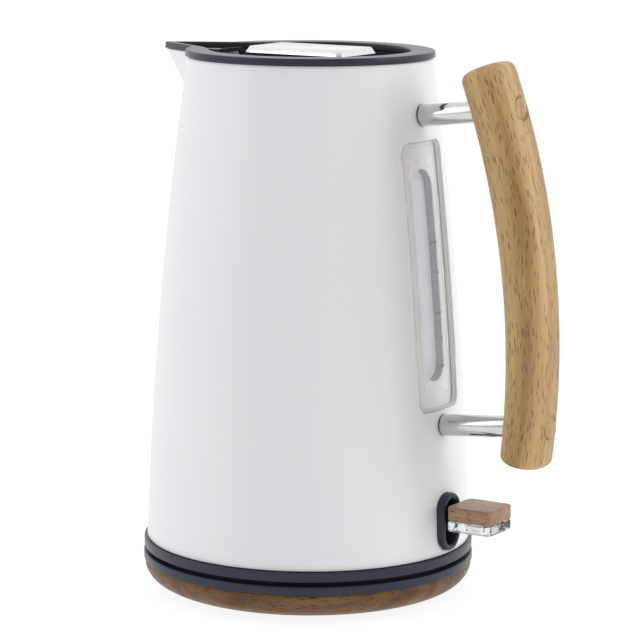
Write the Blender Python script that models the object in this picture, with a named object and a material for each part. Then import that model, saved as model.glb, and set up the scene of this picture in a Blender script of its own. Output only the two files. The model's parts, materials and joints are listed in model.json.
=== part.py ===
"""Cordless electric jug kettle on a round power base, modelled piece by piece.

Frame: +Z up, the floor at Z = 0, +X towards the handle and -X towards the spout. The origin is the middle of
the kettle's footprint on the floor, so the jug's own axis stands a little towards -X.
Each mesh is built about the jug's axis, then hangs on the empty of the body that it belongs to.
"""

import math

import bmesh
import bpy
import numpy as np
from mathutils import Matrix, Vector

MM = 0.001
HAIR = 0.01 * MM  # what keeps a round end from closing to nothing
CLEAR_OF = 20.0 * MM  # how far a cutter runs past what it cuts
ROUND = 36  # facets of a large round piece
GAP = 0.3 * MM  # clearance between pieces that touch
SHELL_CLEARANCE = 0.8 * MM  # between the body shell and a round piece inside it
FIT = 0.5 * MM  # clearance of a pin or a bolt in its hole
SMALL_EDGE = 0.5 * MM  # bevel of a small edge

# Body: a tapering steel shell whose side bulges a little
BODY_BOTTOM_RADIUS = 75.95 * MM
BODY_TOP_RADIUS = 56.75 * MM
BODY_BULGE = 3.07 * MM
BODY_HEIGHT = 225.0 * MM
BODY_WALL = 1.2 * MM

# Spout: a V pressed out of the body's top edge
SPOUT_REACH = 82.0 * MM
SPOUT_HALF_ANGLE = math.radians(29.5)
SPOUT_KEEL_SLOPE = 0.62  # how far the keel comes in per unit of drop
SPOUT_TIP_RADIUS = 3.0 * MM
SPOUT_FILLET = 2.0 * MM

# Collar: the flat trim on the top edge
COLLAR_OVERHANG = 1.0 * MM
COLLAR_HEIGHT = 3.0 * MM
COLLAR_SPOUT_RIM = 3.3 * MM
OPENING_RADIUS = 46.3 * MM
OPENING_FILLET = 7.0 * MM
COLLAR_EDGE = 0.7 * MM

# Neck: the inner moulding that carries the lid and the filter
NECK_WALL = 2.4 * MM
NECK_DEPTH = 20.0 * MM
NECK_FLANGE = 2.0 * MM
NECK_LEDGE = 3.0 * MM
POUR_HALF_ANGLE = math.radians(15.0)
POUR_HEIGHT = 15.0 * MM
FILTER_FRAME = 1.6 * MM
FILTER_MESH = 0.6 * MM
POUR_CLEARANCE = 5.0 * MM

# Lid: a dished cover in the neck, lifted by a plate on a stem
LID_DEPTH = 12.0 * MM
LID_THICKNESS = 2.4 * MM
LID_DISC = 0.8 * MM
SEAL_THICKNESS = 2.0 * MM
LID_RIM_WALL = 1.8 * MM
LID_RIM_HEIGHT = 5.0 * MM
LID_FILLET = 2.0 * MM
LID_DISC_MARGIN = 2.0 * MM
LID_SCREW_REACH = 5.5 * MM
GRIP_LENGTH = 54.0 * MM
GRIP_WIDTH = 32.0 * MM
GRIP_THICKNESS = 3.4 * MM
GRIP_CORNER = 4.0 * MM
GRIP_PROUD = 1.3 * MM
STEM_LENGTH = 22.0 * MM
STEM_WIDTH = 13.0 * MM

# Power base
FOOT_HEIGHT = 1.0 * MM
BASE_RADIUS = 77.7 * MM
WOOD_HEIGHT = 12.9 * MM
WOOD_ROUNDING = 20.0 * MM
WOOD_SHAPE = 0.87  # below 1 the side is fuller than an ellipse
WOOD_WIDTH = 23.5 * MM
RIM_HEIGHT = 3.8 * MM
PLATEAU_RISE = 1.8 * MM
PLATEAU_RADIUS = 72.8 * MM
COVER_WALL = 2.2 * MM
WELL_DEPTH = 3.3 * MM
WELL_LEDGE = 3.5 * MM
WELL_SLOPE = 3.5 * MM
FLOOR_CLEARANCE = 0.4 * MM
FLOOR_THICKNESS = 3.2 * MM
BASE_GAP = 2.1 * MM
JUG_RING_RADIUS = 77.45 * MM
JUG_RING_HEIGHT = 4.4 * MM
JUG_RING_UPSTAND = 2.5 * MM
JUG_RING_WALL = 2.7 * MM
FOOT_RADIUS = 5.5 * MM
FOOT_POCKET = 1.8 * MM
FOOT_EDGE = 0.6 * MM
FOOT_CIRCLE = 44.0 * MM
SCREW_CIRCLE = 34.0 * MM
COVER_SCREW_CIRCLE = 67.0 * MM
SCREW_START = math.radians(30.0)
COVER_SCREW_START = math.radians(50.0)
THIRD = math.radians(120.0)
SCREW_RADIUS = 1.4 * MM
SCREW_SPARE = 1.0 * MM  # the pilot hole's depth past the screw's tip
SCREW_HEAD_RADIUS = 2.7 * MM
SCREW_HEAD_HEIGHT = 1.3 * MM
BOSS_RADIUS = 4.2 * MM
GLAND_RADIUS = 3.6 * MM
GLAND_BORE = 2.6 * MM
GLAND_INSIDE = 6.0 * MM
GLAND_RECESS = 1.2 * MM

# Connector between the base and the jug
CONNECTOR_RADIUS = 19.0 * MM
CONNECTOR_DROP = 1.6 * MM  # below the plateau
CONNECTOR_EDGE = 1.0 * MM
POST_RADIUS = 7.9 * MM
POST_NECK_RADIUS = 6.0 * MM
POST_RISE = 13.0 * MM
POST_STEP = 0.8 * MM
POST_NOSE = 1.5 * MM
CONTACT_WALL = 1.0 * MM
CONTACT_HEIGHT = 3.0 * MM
CONTACT_START = 1.5 * MM
CONTACT_SPACE = 2.0 * MM
EARTH_PIN_RADIUS = 1.7 * MM
EARTH_PIN_FOOT = 3.0 * MM
EARTH_PIN_RECESS = 1.0 * MM

# Heater and control under the water space
HEATER_HEIGHT = 30.3 * MM  # above the body's bottom edge
HEATER_THICKNESS = 1.2 * MM
DIFFUSER_RADIUS = 50.0 * MM
DIFFUSER_THICKNESS = 3.0 * MM
ELEMENT_RADIUS = 45.0 * MM
ELEMENT_TUBE = 3.6 * MM
ELEMENT_ARC = math.radians(300.0)
SOCKET_RADIUS = 16.5 * MM
CONTROL_LENGTH = 54.0 * MM
CONTROL_WIDTH = 32.0 * MM
CONTROL_HEIGHT = 18.0 * MM
CONTROL_BEHIND = 22.0 * MM  # how far the control reaches towards the spout
BARREL_LAP = 3.0 * MM
SOCKET_HEADROOM = 1.0 * MM
STEAM_TUBE_RADIUS = 4.5 * MM
STEAM_TUBE_BORE = 3.3 * MM
STEAM_TUBE_ANGLE = math.radians(32.0)
STEAM_TUBE_TOP = 200.0 * MM  # above the body's bottom edge
STEAM_TUBE_FOOT = 20.0 * MM
STEAM_TUBE_OFF_WALL = 4.0 * MM

# Handle
HANDLE_DEPTH = 22.3 * MM
HANDLE_WIDTH = 26.0 * MM
HANDLE_CORNER = 9.5 * MM
HANDLE_END_ROUNDING = 2.6 * MM
HANDLE_ARC_RADIUS = 353.4 * MM
HANDLE_STANDOFF = 42.8 * MM  # from the body's foot radius to the middle of the grip
HANDLE_ARC_HEIGHT = 116.4 * MM
HANDLE_TOP_ANGLE = math.radians(22.1)
HANDLE_BOTTOM_ANGLE = math.radians(-7.3)
POST_TUBE_RADIUS = 5.0 * MM
BOLT_RADIUS = 2.0 * MM
BOLT_HEAD_RADIUS = 4.2 * MM
BOLT_HEAD_HEIGHT = 3.0 * MM
PLUG_RADIUS = 5.2 * MM
PLUG_DEPTH = 4.0 * MM
POST_SOCKET_DEPTH = 3.0 * MM
GASKET_THICKNESS = 0.6 * MM
NUT_HEIGHT = 3.2 * MM
NUT_RADIUS = 4.4 * MM
BOLT_SPARE = 2.0 * MM  # past the nut
POSTS = {
    "upper": (201.1 * MM, math.radians(6.3)),
    "lower": (60.0 * MM, math.radians(5.3)),
}  # height above the body's bottom edge, tilt up towards the handle

# Water window
WINDOW_BOTTOM = 67.3 * MM  # above the body's bottom edge
WINDOW_HEIGHT = 122.0 * MM
WINDOW_WIDTH = 33.8 * MM
WINDOW_CORNER = 5.0 * MM
LENS_THICKNESS = 2.5 * MM
LINER_THICKNESS = 2.2 * MM
LINER_LAP = 3.0 * MM
SIGHT_WIDTH = 18.0 * MM
SIGHT_MARGIN = 11.2 * MM
SIGHT_LIP = 2.0 * MM
PLATE_SPARE = 3.0 * MM  # before a plate is cut to its outline
PLATE_HALF_ANGLE = math.radians(26.0)
CLAMP_THICKNESS = 1.0 * MM

# Switch
BEZEL_HEIGHT = 27.0 * MM
BEZEL_WIDTH = 16.0 * MM
BEZEL_RIM = 2.9 * MM
BEZEL_LIP = 1.0 * MM
BEZEL_PROUD = 2.5 * MM
BEZEL_CENTRE = 15.3 * MM  # above the body's bottom edge
BEZEL_DEPTH = 5.0 * MM
LEVER_PIVOT_INSET = 17.0 * MM
LEVER_ARM_WIDTH = 8.0 * MM
LEVER_ARM_THICKNESS = 6.0 * MM
LEVER_HUB_RADIUS = 4.5 * MM
PIVOT_PIN_RADIUS = 1.5 * MM
TAB_LENGTH = 22.8 * MM
TAB_WIDTH = 22.0 * MM
TAB_STANDOFF = 2.7 * MM
TAB_RISE = 3.0 * MM  # from the pivot to the wood's underside
TAB_CORNER = 3.0 * MM
WOOD_CAP_THICKNESS = 6.6 * MM
CLEAR_TAB_THICKNESS = 4.6 * MM
TONGUE_THICKNESS = 2.0 * MM
LEVER_HUB_PROUD = 2.0 * MM
TONGUE_LAP = 4.0 * MM
TONGUE_SHORT = 5.0 * MM  # of the tab's far end
CHEEK_PLAY = 2.4 * MM
BRACKET_WALL = 2.4 * MM
BRACKET_REACH = 7.0 * MM
BRACKET_RISE = 6.0 * MM
LAMP_RISE = 4.0 * MM
LAMP_RADIUS = 2.0 * MM
LAMP_LENGTH = 6.0 * MM

# Levels that follow from the sizes above
FLOOR_LOW = FOOT_HEIGHT + FLOOR_CLEARANCE
FLOOR_TOP = FLOOR_LOW + FLOOR_THICKNESS
WOOD_TOP = FOOT_HEIGHT + WOOD_HEIGHT
RIM_BOTTOM = WOOD_TOP + GAP
RIM_TOP = RIM_BOTTOM + RIM_HEIGHT
PLATEAU_TOP = RIM_TOP + PLATEAU_RISE
JUG_BOTTOM = RIM_TOP + BASE_GAP
JUG_RING_TOP = JUG_BOTTOM + JUG_RING_HEIGHT
BODY_BOTTOM = JUG_RING_TOP + GAP
BODY_TOP = BODY_BOTTOM + BODY_HEIGHT
COLLAR_BOTTOM = BODY_TOP + GAP
COLLAR_TOP = COLLAR_BOTTOM + COLLAR_HEIGHT
HEATER_BOTTOM = BODY_BOTTOM + HEATER_HEIGHT
HANDLE_X = BODY_BOTTOM_RADIUS + HANDLE_STANDOFF
HANDLE_ARC_X = HANDLE_X - HANDLE_ARC_RADIUS
AXIS_X = (SPOUT_REACH - HANDLE_X - HANDLE_DEPTH / 2) / 2
WALL_NEAR = BODY_TOP_RADIUS / 2  # a cutter through the wall at the handle side starts and ends here
WALL_FAR = BODY_BOTTOM_RADIUS + CLEAR_OF

SLATE = ("slate_plastic", (0.075, 0.092, 0.125), 0.45, 0.0)
BLACK = ("black_plastic", (0.02, 0.021, 0.024), 0.55, 0.0)
PAINT = ("satin_white_paint", (0.80, 0.80, 0.81), 0.42, 0.0)
STEEL = ("brushed_steel", (0.60, 0.60, 0.62), 0.35, 1.0)
CHROME = ("polished_chrome", (0.82, 0.82, 0.84), 0.10, 1.0)
BRASS = ("brass", (0.72, 0.52, 0.22), 0.30, 1.0)
ALUMINIUM = ("cast_aluminium", (0.66, 0.67, 0.68), 0.50, 1.0)
BEECH = ("oiled_beech", (0.50, 0.31, 0.15), 0.50, 0.0)
WALNUT = ("stained_wood", (0.22, 0.11, 0.05), 0.50, 0.0)
CLEAR = ("clear_plastic", (0.85, 0.87, 0.90), 0.08, 0.0)
SILICONE = ("grey_silicone", (0.35, 0.36, 0.38), 0.60, 0.0)
RUBBER = ("rubber", (0.04, 0.04, 0.045), 0.80, 0.0)


def clear_scene():
    for old in list(bpy.data.objects):
        bpy.data.objects.remove(old, do_unlink=True)


def material(finish):
    name, colour, roughness, metallic = finish
    found = bpy.data.materials.get(name)
    if found:
        return found
    made = bpy.data.materials.new(name)
    made.use_nodes = True
    shader = made.node_tree.nodes["Principled BSDF"]
    shader.inputs["Base Color"].default_value = (*colour, 1.0)
    shader.inputs["Roughness"].default_value = roughness
    shader.inputs["Metallic"].default_value = metallic
    return made


def empty(name, location):
    made = bpy.data.objects.new(name, None)
    made.location = location
    bpy.context.collection.objects.link(made)
    return made


def piece(name, bm, finish, hub, sharp=math.radians(35.0)):
    """Turns a closed bmesh built about the jug's axis into an object that hangs on its body's empty."""
    bmesh.ops.remove_doubles(bm, verts=bm.verts, dist=1e-7)
    bmesh.ops.recalc_face_normals(bm, faces=bm.faces)
    mesh = bpy.data.meshes.new(name)
    bm.to_mesh(mesh)
    bm.free()
    mesh.transform(Matrix.Translation(Vector((AXIS_X, 0, 0)) - hub.location))
    mesh.shade_smooth()
    mesh.set_sharp_from_angle(angle=sharp)
    made = bpy.data.objects.new(name, mesh)
    made.parent = hub
    bpy.context.collection.objects.link(made)
    if finish:
        mesh.materials.append(material(finish))
    return made


def boolean(target, name, bm, operation="DIFFERENCE"):
    """Cuts, joins or intersects a piece with a helper solid that isn't rendered."""
    helper = piece(name, bm, None, target.parent)
    helper.hide_render = True
    helper.display_type = "WIRE"
    modifier = target.modifiers.new(name, "BOOLEAN")
    modifier.operation = operation
    modifier.solver = "EXACT"
    modifier.object = helper


def body_radius(z):
    """Outer radius of the body at height z: a straight taper and a parabolic bulge."""
    share = (z - BODY_BOTTOM) / BODY_HEIGHT
    taper = BODY_BOTTOM_RADIUS + (BODY_TOP_RADIUS - BODY_BOTTOM_RADIUS) * share
    return taper + 4 * BODY_BULGE * share * (1 - share)


def turned(points, steps=48):
    """A solid of revolution about the jug's axis. A profile that meets the axis is open, any other is closed."""
    bm = bmesh.new()
    verts = [bm.verts.new((r, 0, z)) for r, z in points]
    edges = [bm.edges.new(pair) for pair in zip(verts, verts[1:])]
    if points[0][0] > 0 or points[-1][0] > 0:
        edges.append(bm.edges.new((verts[-1], verts[0])))
    bmesh.ops.spin(bm, geom=verts + edges, cent=(0, 0, 0), axis=(0, 0, 1), angle=2 * math.pi, steps=steps,
                   use_merge=True)
    bmesh.ops.remove_doubles(bm, verts=bm.verts, dist=1e-7)
    return bm


def turned_at(points, centre, direction, steps=16):
    """A solid of revolution whose axis starts at a point and runs in a direction."""
    bm = turned(points, steps)
    turn = Vector((0, 0, 1)).rotation_difference(Vector(direction)).to_matrix().to_4x4()
    bm.transform(Matrix.Translation(centre) @ turn)
    return bm


def rod(radius, low, high, centre=(0, 0, 0), direction=(0, 0, 1), steps=16):
    return turned_at([(0, low), (radius, low), (radius, high), (0, high)], centre, direction, steps)


def tube(inner, outer, low, high, centre=(0, 0, 0), direction=(0, 0, 1), steps=16):
    return turned_at([(inner, low), (outer, low), (outer, high), (inner, high)], centre, direction, steps)


def rounded_outline(length, width, corner, steps=4):
    """Points of a rounded rectangle about the origin, each corner an arc."""
    points = []
    for quarter in range(4):
        turn = quarter * math.pi / 2
        sx = 1 if quarter in (0, 3) else -1
        sy = 1 if quarter < 2 else -1
        for step in range(steps + 1):
            angle = turn + step * math.pi / 2 / steps
            points.append((sx * (length / 2 - corner) + corner * math.cos(angle),
                           sy * (width / 2 - corner) + corner * math.sin(angle)))
    return points


def prism(outline, low, high, frame=None):
    """An outline in the local XY plane, extruded from low to high and placed by a matrix."""
    bm = bmesh.new()
    face = bm.faces.new([bm.verts.new((x, y, low)) for x, y in outline])
    grown = bmesh.ops.extrude_face_region(bm, geom=[face])
    top = [item for item in grown["geom"] if isinstance(item, bmesh.types.BMVert)]
    bmesh.ops.translate(bm, verts=top, vec=(0, 0, high - low))
    if frame is not None:
        bm.transform(frame)
    return bm


def box(low, high):
    return prism([(low[0], low[1]), (high[0], low[1]), (high[0], high[1]), (low[0], high[1])], low[2], high[2])


# Local X runs along Y, local Y along Z and local Z along X: for what is cut or fixed in the wall at the handle side
WALL_FRAME = Matrix(((0, 0, 1, 0), (1, 0, 0, 0), (0, 1, 0, 0), (0, 0, 0, 1)))


def wall_prism(width, height, corner, z, low, high, steps=4):
    frame = Matrix.Translation((0, 0, z)) @ WALL_FRAME
    return prism(rounded_outline(width, height, corner, steps), low, high, frame)


def ring_loft(sections):
    """Joins closed rings of points, one after another and the last to the first, into one closed surface."""
    bm = bmesh.new()
    rings = [[bm.verts.new(point) for point in section] for section in sections]
    for ring, following in zip(rings, rings[1:] + rings[:1]):
        for i in range(len(ring)):
            j = (i + 1) % len(ring)
            bm.faces.new((ring[i], ring[j], following[j], following[i]))
    return bm


def soft_max(a, b, width):
    """The larger of two values, rounded off over a width where they cross."""
    near = np.clip(1 - np.abs(a - b) / width, 0, None)
    return np.maximum(a, b) + near**2 * width / 4


def plan_angles():
    """Angles round the jug from the spout, close together along the spout's V."""
    fine = np.radians(np.array([0, 1.2, 3, 6, 9.5, 12.5, 15.5, 19, 24]))
    coarse = np.linspace(math.radians(31), math.pi, 15)
    half = np.concatenate([fine, coarse])
    return np.concatenate([half, -half[-2:0:-1]])


def spout_plan(angles, round_radius, keel, fillet):
    """Radius of a circle joined to a V whose rounded keel is at -X, for angles measured from the keel."""
    rounding = SPOUT_TIP_RADIUS / SPOUT_REACH / 2
    off = np.minimum(np.sqrt(angles**2 + rounding**2), math.pi / 2 - SPOUT_HALF_ANGLE)
    wall = keel * math.sin(SPOUT_HALF_ANGLE + rounding) / np.sin(SPOUT_HALF_ANGLE + off)
    return soft_max(np.full_like(wall, round_radius), wall, fillet)


def ring_points(angles, radii, z):
    return [(-r * math.cos(a), -r * math.sin(a), z) for a, r in zip(angles, radii)]


def keel_at(z):
    return SPOUT_REACH - COLLAR_OVERHANG - SPOUT_KEEL_SLOPE * (BODY_TOP - z)


def make_body(jug):
    angles = plan_angles()
    keel_foot = (BODY_TOP * SPOUT_KEEL_SLOPE + BODY_TOP_RADIUS - SPOUT_REACH + COLLAR_OVERHANG) / SPOUT_KEEL_SLOPE
    heights = [*np.linspace(BODY_BOTTOM, keel_foot, 6), *np.linspace(keel_foot, BODY_TOP, 6)[1:]]
    outer = [ring_points(angles, spout_plan(angles, body_radius(z), keel_at(z), SPOUT_FILLET), z) for z in heights]
    keel_wall = BODY_WALL / math.sin(SPOUT_HALF_ANGLE)
    inner = [ring_points(angles, spout_plan(angles, body_radius(z) - BODY_WALL, keel_at(z) - keel_wall,
                                            SPOUT_FILLET), z) for z in heights]
    shell = piece("body_shell", ring_loft(outer + inner[::-1]), PAINT, jug)
    window_z = BODY_BOTTOM + WINDOW_BOTTOM + WINDOW_HEIGHT / 2
    boolean(shell, "window_cutter", wall_prism(WINDOW_WIDTH + 2 * GAP, WINDOW_HEIGHT + 2 * GAP, WINDOW_CORNER,
                                               window_z, WALL_NEAR, WALL_FAR))
    neck_width = BEZEL_WIDTH - 2 * BEZEL_LIP + 2 * GAP
    neck_height = BEZEL_HEIGHT - 2 * BEZEL_LIP + 2 * GAP
    boolean(shell, "bezel_cutter", wall_prism(neck_width, neck_height, neck_width / 2 - HAIR,
                                              BODY_BOTTOM + BEZEL_CENTRE, WALL_NEAR, WALL_FAR))
    for name, (height, tilt) in POSTS.items():
        root, along = post_line(height, tilt)
        boolean(shell, f"bolt_cutter_{name}", rod(BOLT_RADIUS + FIT, -CLEAR_OF, CLEAR_OF, root, along, 10))


def collar_plans():
    """Outer and inner plan radii of the top collar, round the spout and the lid's opening."""
    angles = plan_angles()
    outer = spout_plan(angles, BODY_TOP_RADIUS + COLLAR_OVERHANG, SPOUT_REACH, SPOUT_FILLET)
    rim = COLLAR_SPOUT_RIM / math.sin(SPOUT_HALF_ANGLE)
    inner = spout_plan(angles, OPENING_RADIUS, SPOUT_REACH - rim, OPENING_FILLET)
    return angles, outer, inner


def make_collar(jug):
    angles, outer, inner = collar_plans()
    edge = COLLAR_EDGE
    rows = [(outer, COLLAR_BOTTOM), (outer, COLLAR_TOP - edge), (outer - edge, COLLAR_TOP),
            (inner + edge, COLLAR_TOP), (inner, COLLAR_TOP - edge), (inner, COLLAR_BOTTOM)]
    return piece("top_collar", ring_loft([ring_points(angles, radii, z) for radii, z in rows]), SLATE, jug)


def make_neck(jug):
    inner = OPENING_RADIUS
    outer = inner + NECK_WALL
    bottom = BODY_TOP - NECK_DEPTH
    flange = BODY_TOP_RADIUS - BODY_WALL - SHELL_CLEARANCE
    ledge = inner - NECK_LEDGE
    profile = [(ledge, bottom), (outer, bottom), (outer, BODY_TOP - NECK_FLANGE), (flange, BODY_TOP - NECK_FLANGE),
               (flange, BODY_TOP), (inner, BODY_TOP), (inner, bottom + NECK_WALL), (ledge, bottom + NECK_WALL)]
    neck = piece("neck_ring", turned(profile, ROUND), BLACK, jug)
    side = math.tan(POUR_HALF_ANGLE)
    far = SPOUT_REACH
    near = inner / 2
    wedge = [(-far, far * side), (-far, -far * side), (-near, -near * side), (-near, near * side)]
    boolean(neck, "pour_cutter", prism(wedge, BODY_TOP - POUR_HEIGHT, BODY_TOP + POUR_CLEARANCE))


def arc_wall(inner, outer, half_angle, low, high, steps=8):
    """A piece of a round wall centred on the spout side."""
    turns = [half_angle * (2 * i / steps - 1) for i in range(steps + 1)]
    outline = [(-outer * math.cos(t), outer * math.sin(t)) for t in turns]
    outline += [(-inner * math.cos(t), inner * math.sin(t)) for t in turns[::-1]]
    return prism(outline, low, high)


def make_filter(hub):
    play = GAP / OPENING_RADIUS
    inner = OPENING_RADIUS + GAP
    outer = OPENING_RADIUS + NECK_WALL
    half = POUR_HALF_ANGLE - 2 * play
    low = BODY_TOP - POUR_HEIGHT + GAP
    high = BODY_TOP + COLLAR_HEIGHT / 2
    frame = piece("filter_frame", arc_wall(inner, outer, half, low, high), BLACK, hub)
    margin = FILTER_FRAME / OPENING_RADIUS
    boolean(frame, "filter_cutter", arc_wall(inner - POUR_CLEARANCE, outer + POUR_CLEARANCE, half - margin,
                                             low + FILTER_FRAME, high - FILTER_FRAME))
    middle = (inner + outer - FILTER_MESH) / 2
    piece("filter_mesh", arc_wall(middle, middle + FILTER_MESH, half - margin - play, low + FILTER_FRAME + GAP,
                                  high - FILTER_FRAME - GAP), STEEL, hub)


def make_lid(hub):
    """Dished cover, its steel underside, the seal between them, the stem and the plate that lifts it."""
    edge = OPENING_RADIUS - FIT
    floor = COLLAR_TOP - LID_DEPTH
    under = floor - LID_THICKNESS
    seal_low = BODY_TOP - NECK_DEPTH + NECK_WALL + GAP
    inner = edge - LID_RIM_WALL
    profile = [(0, floor), (inner - LID_FILLET, floor), (inner, floor + LID_FILLET), (inner, floor + LID_RIM_HEIGHT),
               (edge, floor + LID_RIM_HEIGHT), (edge, under), (0, under)]
    cover = piece("lid_cover", turned(profile, ROUND), SLATE, hub)
    disc_top = under - GAP
    disc_radius = edge - NECK_LEDGE - LID_DISC_MARGIN
    piece("lid_steel_disc", turned([(0, disc_top), (disc_radius, disc_top), (disc_radius, disc_top - LID_DISC),
                                    (0, disc_top - LID_DISC)], ROUND), STEEL, hub)
    piece("lid_seal", turned([(disc_radius + GAP, seal_low), (edge, seal_low), (edge, disc_top),
                              (disc_radius + GAP, disc_top)], ROUND), SILICONE, hub)
    plate_top = COLLAR_TOP + GRIP_PROUD
    plate_low = plate_top - GRIP_THICKNESS
    plate = prism(rounded_outline(GRIP_LENGTH, GRIP_WIDTH, GRIP_CORNER), plate_low, plate_top)
    plate = piece("lid_grip_plate", plate, CHROME, hub)
    bevel = plate.modifiers.new("edge", "BEVEL")
    bevel.width = SMALL_EDGE
    bevel.segments = 2
    bevel.limit_method = "ANGLE"
    bevel.angle_limit = math.radians(60)
    stem_low = floor + GAP
    piece("lid_grip_stem", prism(rounded_outline(STEM_LENGTH, STEM_WIDTH, GRIP_CORNER), stem_low, plate_low - GAP),
          SLATE, hub)
    for number, side in enumerate((-1, 1), 1):
        centre = (side * STEM_LENGTH / 4, 0, 0)
        for owner in ("lid_cover", "lid_steel_disc", "lid_grip_stem"):
            boolean(bpy.data.objects[owner], f"lid_screw_cutter_{owner}_{number}",
                    rod(SCREW_RADIUS + GAP, disc_top - CLEAR_OF, floor + LID_SCREW_REACH + SCREW_SPARE, centre,
                        steps=10))
        head = disc_top - LID_DISC - GAP
        piece(f"lid_screw_{number}", screw(head - SCREW_HEAD_HEIGHT, head, floor + LID_SCREW_REACH, centre), STEEL, hub)


def screw(low, head_top, high, centre):
    """A pan-head screw pointing up, its head between low and head_top."""
    profile = [(0, low), (SCREW_HEAD_RADIUS * 0.8, low), (SCREW_HEAD_RADIUS, low + SCREW_HEAD_HEIGHT / 2),
               (SCREW_HEAD_RADIUS, head_top), (SCREW_RADIUS, head_top), (SCREW_RADIUS, high), (0, high)]
    return turned_at(profile, centre, (0, 0, 1), 8)


def wood_profile():
    """The dish-shaped outer side of the wooden base, from its top edge to its flat underside."""
    turns = np.linspace(0, math.pi / 2, 8)
    middle = BASE_RADIUS - SMALL_EDGE - WOOD_ROUNDING
    return [(middle + WOOD_ROUNDING * abs(math.cos(t)) ** WOOD_SHAPE, WOOD_TOP - WOOD_HEIGHT * math.sin(t) ** WOOD_SHAPE)
            for t in turns]


def make_base(hub):
    wood_inner = BASE_RADIUS - WOOD_WIDTH
    wood = piece("base_wood_ring", turned([*wood_profile(), (wood_inner, FOOT_HEIGHT), (wood_inner, WOOD_TOP)], ROUND),
                 WALNUT, hub)
    skirt = wood_inner - GAP
    skirt_low = FLOOR_TOP + GAP
    hole = CONNECTOR_RADIUS + GAP
    plateau_low = PLATEAU_TOP - COVER_WALL
    well = PLATEAU_TOP - WELL_DEPTH
    slope_foot = hole + WELL_LEDGE
    slope_top = slope_foot + WELL_SLOPE
    half_wall = COVER_WALL / 2
    profile = [(BASE_RADIUS, RIM_BOTTOM), (BASE_RADIUS, RIM_TOP - SMALL_EDGE), (BASE_RADIUS - SMALL_EDGE, RIM_TOP),
               (PLATEAU_RADIUS + PLATEAU_RISE / 2, RIM_TOP), (PLATEAU_RADIUS, PLATEAU_TOP), (slope_top, PLATEAU_TOP),
               (slope_foot, well), (hole, well), (hole, well - COVER_WALL),
               (slope_foot + half_wall, well - COVER_WALL), (slope_top + half_wall, plateau_low),
               (skirt - COVER_WALL, plateau_low), (skirt - COVER_WALL, skirt_low), (skirt, skirt_low),
               (skirt, RIM_BOTTOM)]
    top = piece("base_top_cover", turned(profile, ROUND), SLATE, hub)
    bottom = piece("base_bottom_cover", turned([(0, FLOOR_LOW), (skirt, FLOOR_LOW), (skirt, FLOOR_TOP),
                                                (0, FLOOR_TOP)], ROUND), BLACK, hub)
    for number in range(3):
        turn = THIRD * number + SCREW_START
        centre = Vector((SCREW_CIRCLE * math.cos(turn), SCREW_CIRCLE * math.sin(turn), 0))
        shank = SCREW_RADIUS + GAP
        boolean(top, f"base_boss_{number + 1}", rod(BOSS_RADIUS, skirt_low, plateau_low + SMALL_EDGE, centre), "UNION")
        boolean(top, f"base_pilot_{number + 1}", rod(shank, 0, plateau_low - SCREW_SPARE, centre, steps=10))
        head = FLOOR_LOW + SCREW_HEAD_HEIGHT + GAP
        boolean(bottom, f"base_head_pocket_{number + 1}", rod(SCREW_HEAD_RADIUS + GAP, 0, head + GAP, centre, steps=12))
        boolean(bottom, f"base_screw_hole_{number + 1}", rod(shank, FLOOR_LOW + GAP, PLATEAU_TOP, centre, steps=10))
        piece(f"base_screw_{number + 1}", screw(head - SCREW_HEAD_HEIGHT, head, plateau_low - 2 * SCREW_SPARE, centre),
              STEEL, hub)
        turn += THIRD / 2
        centre = Vector((FOOT_CIRCLE * math.cos(turn), FOOT_CIRCLE * math.sin(turn), 0))
        pocket = FLOOR_LOW + FOOT_POCKET
        boolean(bottom, f"foot_pocket_{number + 1}", rod(FOOT_RADIUS + GAP, 0, pocket, centre))
        foot = [(0, 0), (FOOT_RADIUS - FOOT_EDGE, 0), (FOOT_RADIUS, FOOT_EDGE), (FOOT_RADIUS, pocket - GAP),
                (0, pocket - GAP)]
        piece(f"rubber_foot_{number + 1}", turned_at(foot, centre, (0, 0, 1)), RUBBER, hub)
    gland_z = skirt_low + 3 * GAP + GLAND_RADIUS
    for owner, name in ((wood, "gland_hole_wood"), (top, "gland_hole_cover")):
        boolean(owner, name, rod(GLAND_RADIUS + GAP, wood_inner - CLEAR_OF, BASE_RADIUS + CLEAR_OF, (0, 0, gland_z),
                                 (0, 1, 0)))
    piece("cord_gland", tube(GLAND_BORE, GLAND_RADIUS, skirt - GLAND_INSIDE, BASE_RADIUS - GLAND_RECESS,
                             (0, 0, gland_z), (0, 1, 0)), BLACK, hub)
    crown = PLATEAU_TOP - CONNECTOR_DROP
    piece("connector_housing",
          turned([(POST_RADIUS + FIT, skirt_low), (CONNECTOR_RADIUS, skirt_low),
                  (CONNECTOR_RADIUS, crown - CONNECTOR_EDGE), (CONNECTOR_RADIUS - CONNECTOR_EDGE, crown),
                  (POST_RADIUS + FIT, crown)], 24), BLACK, hub)


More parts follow.
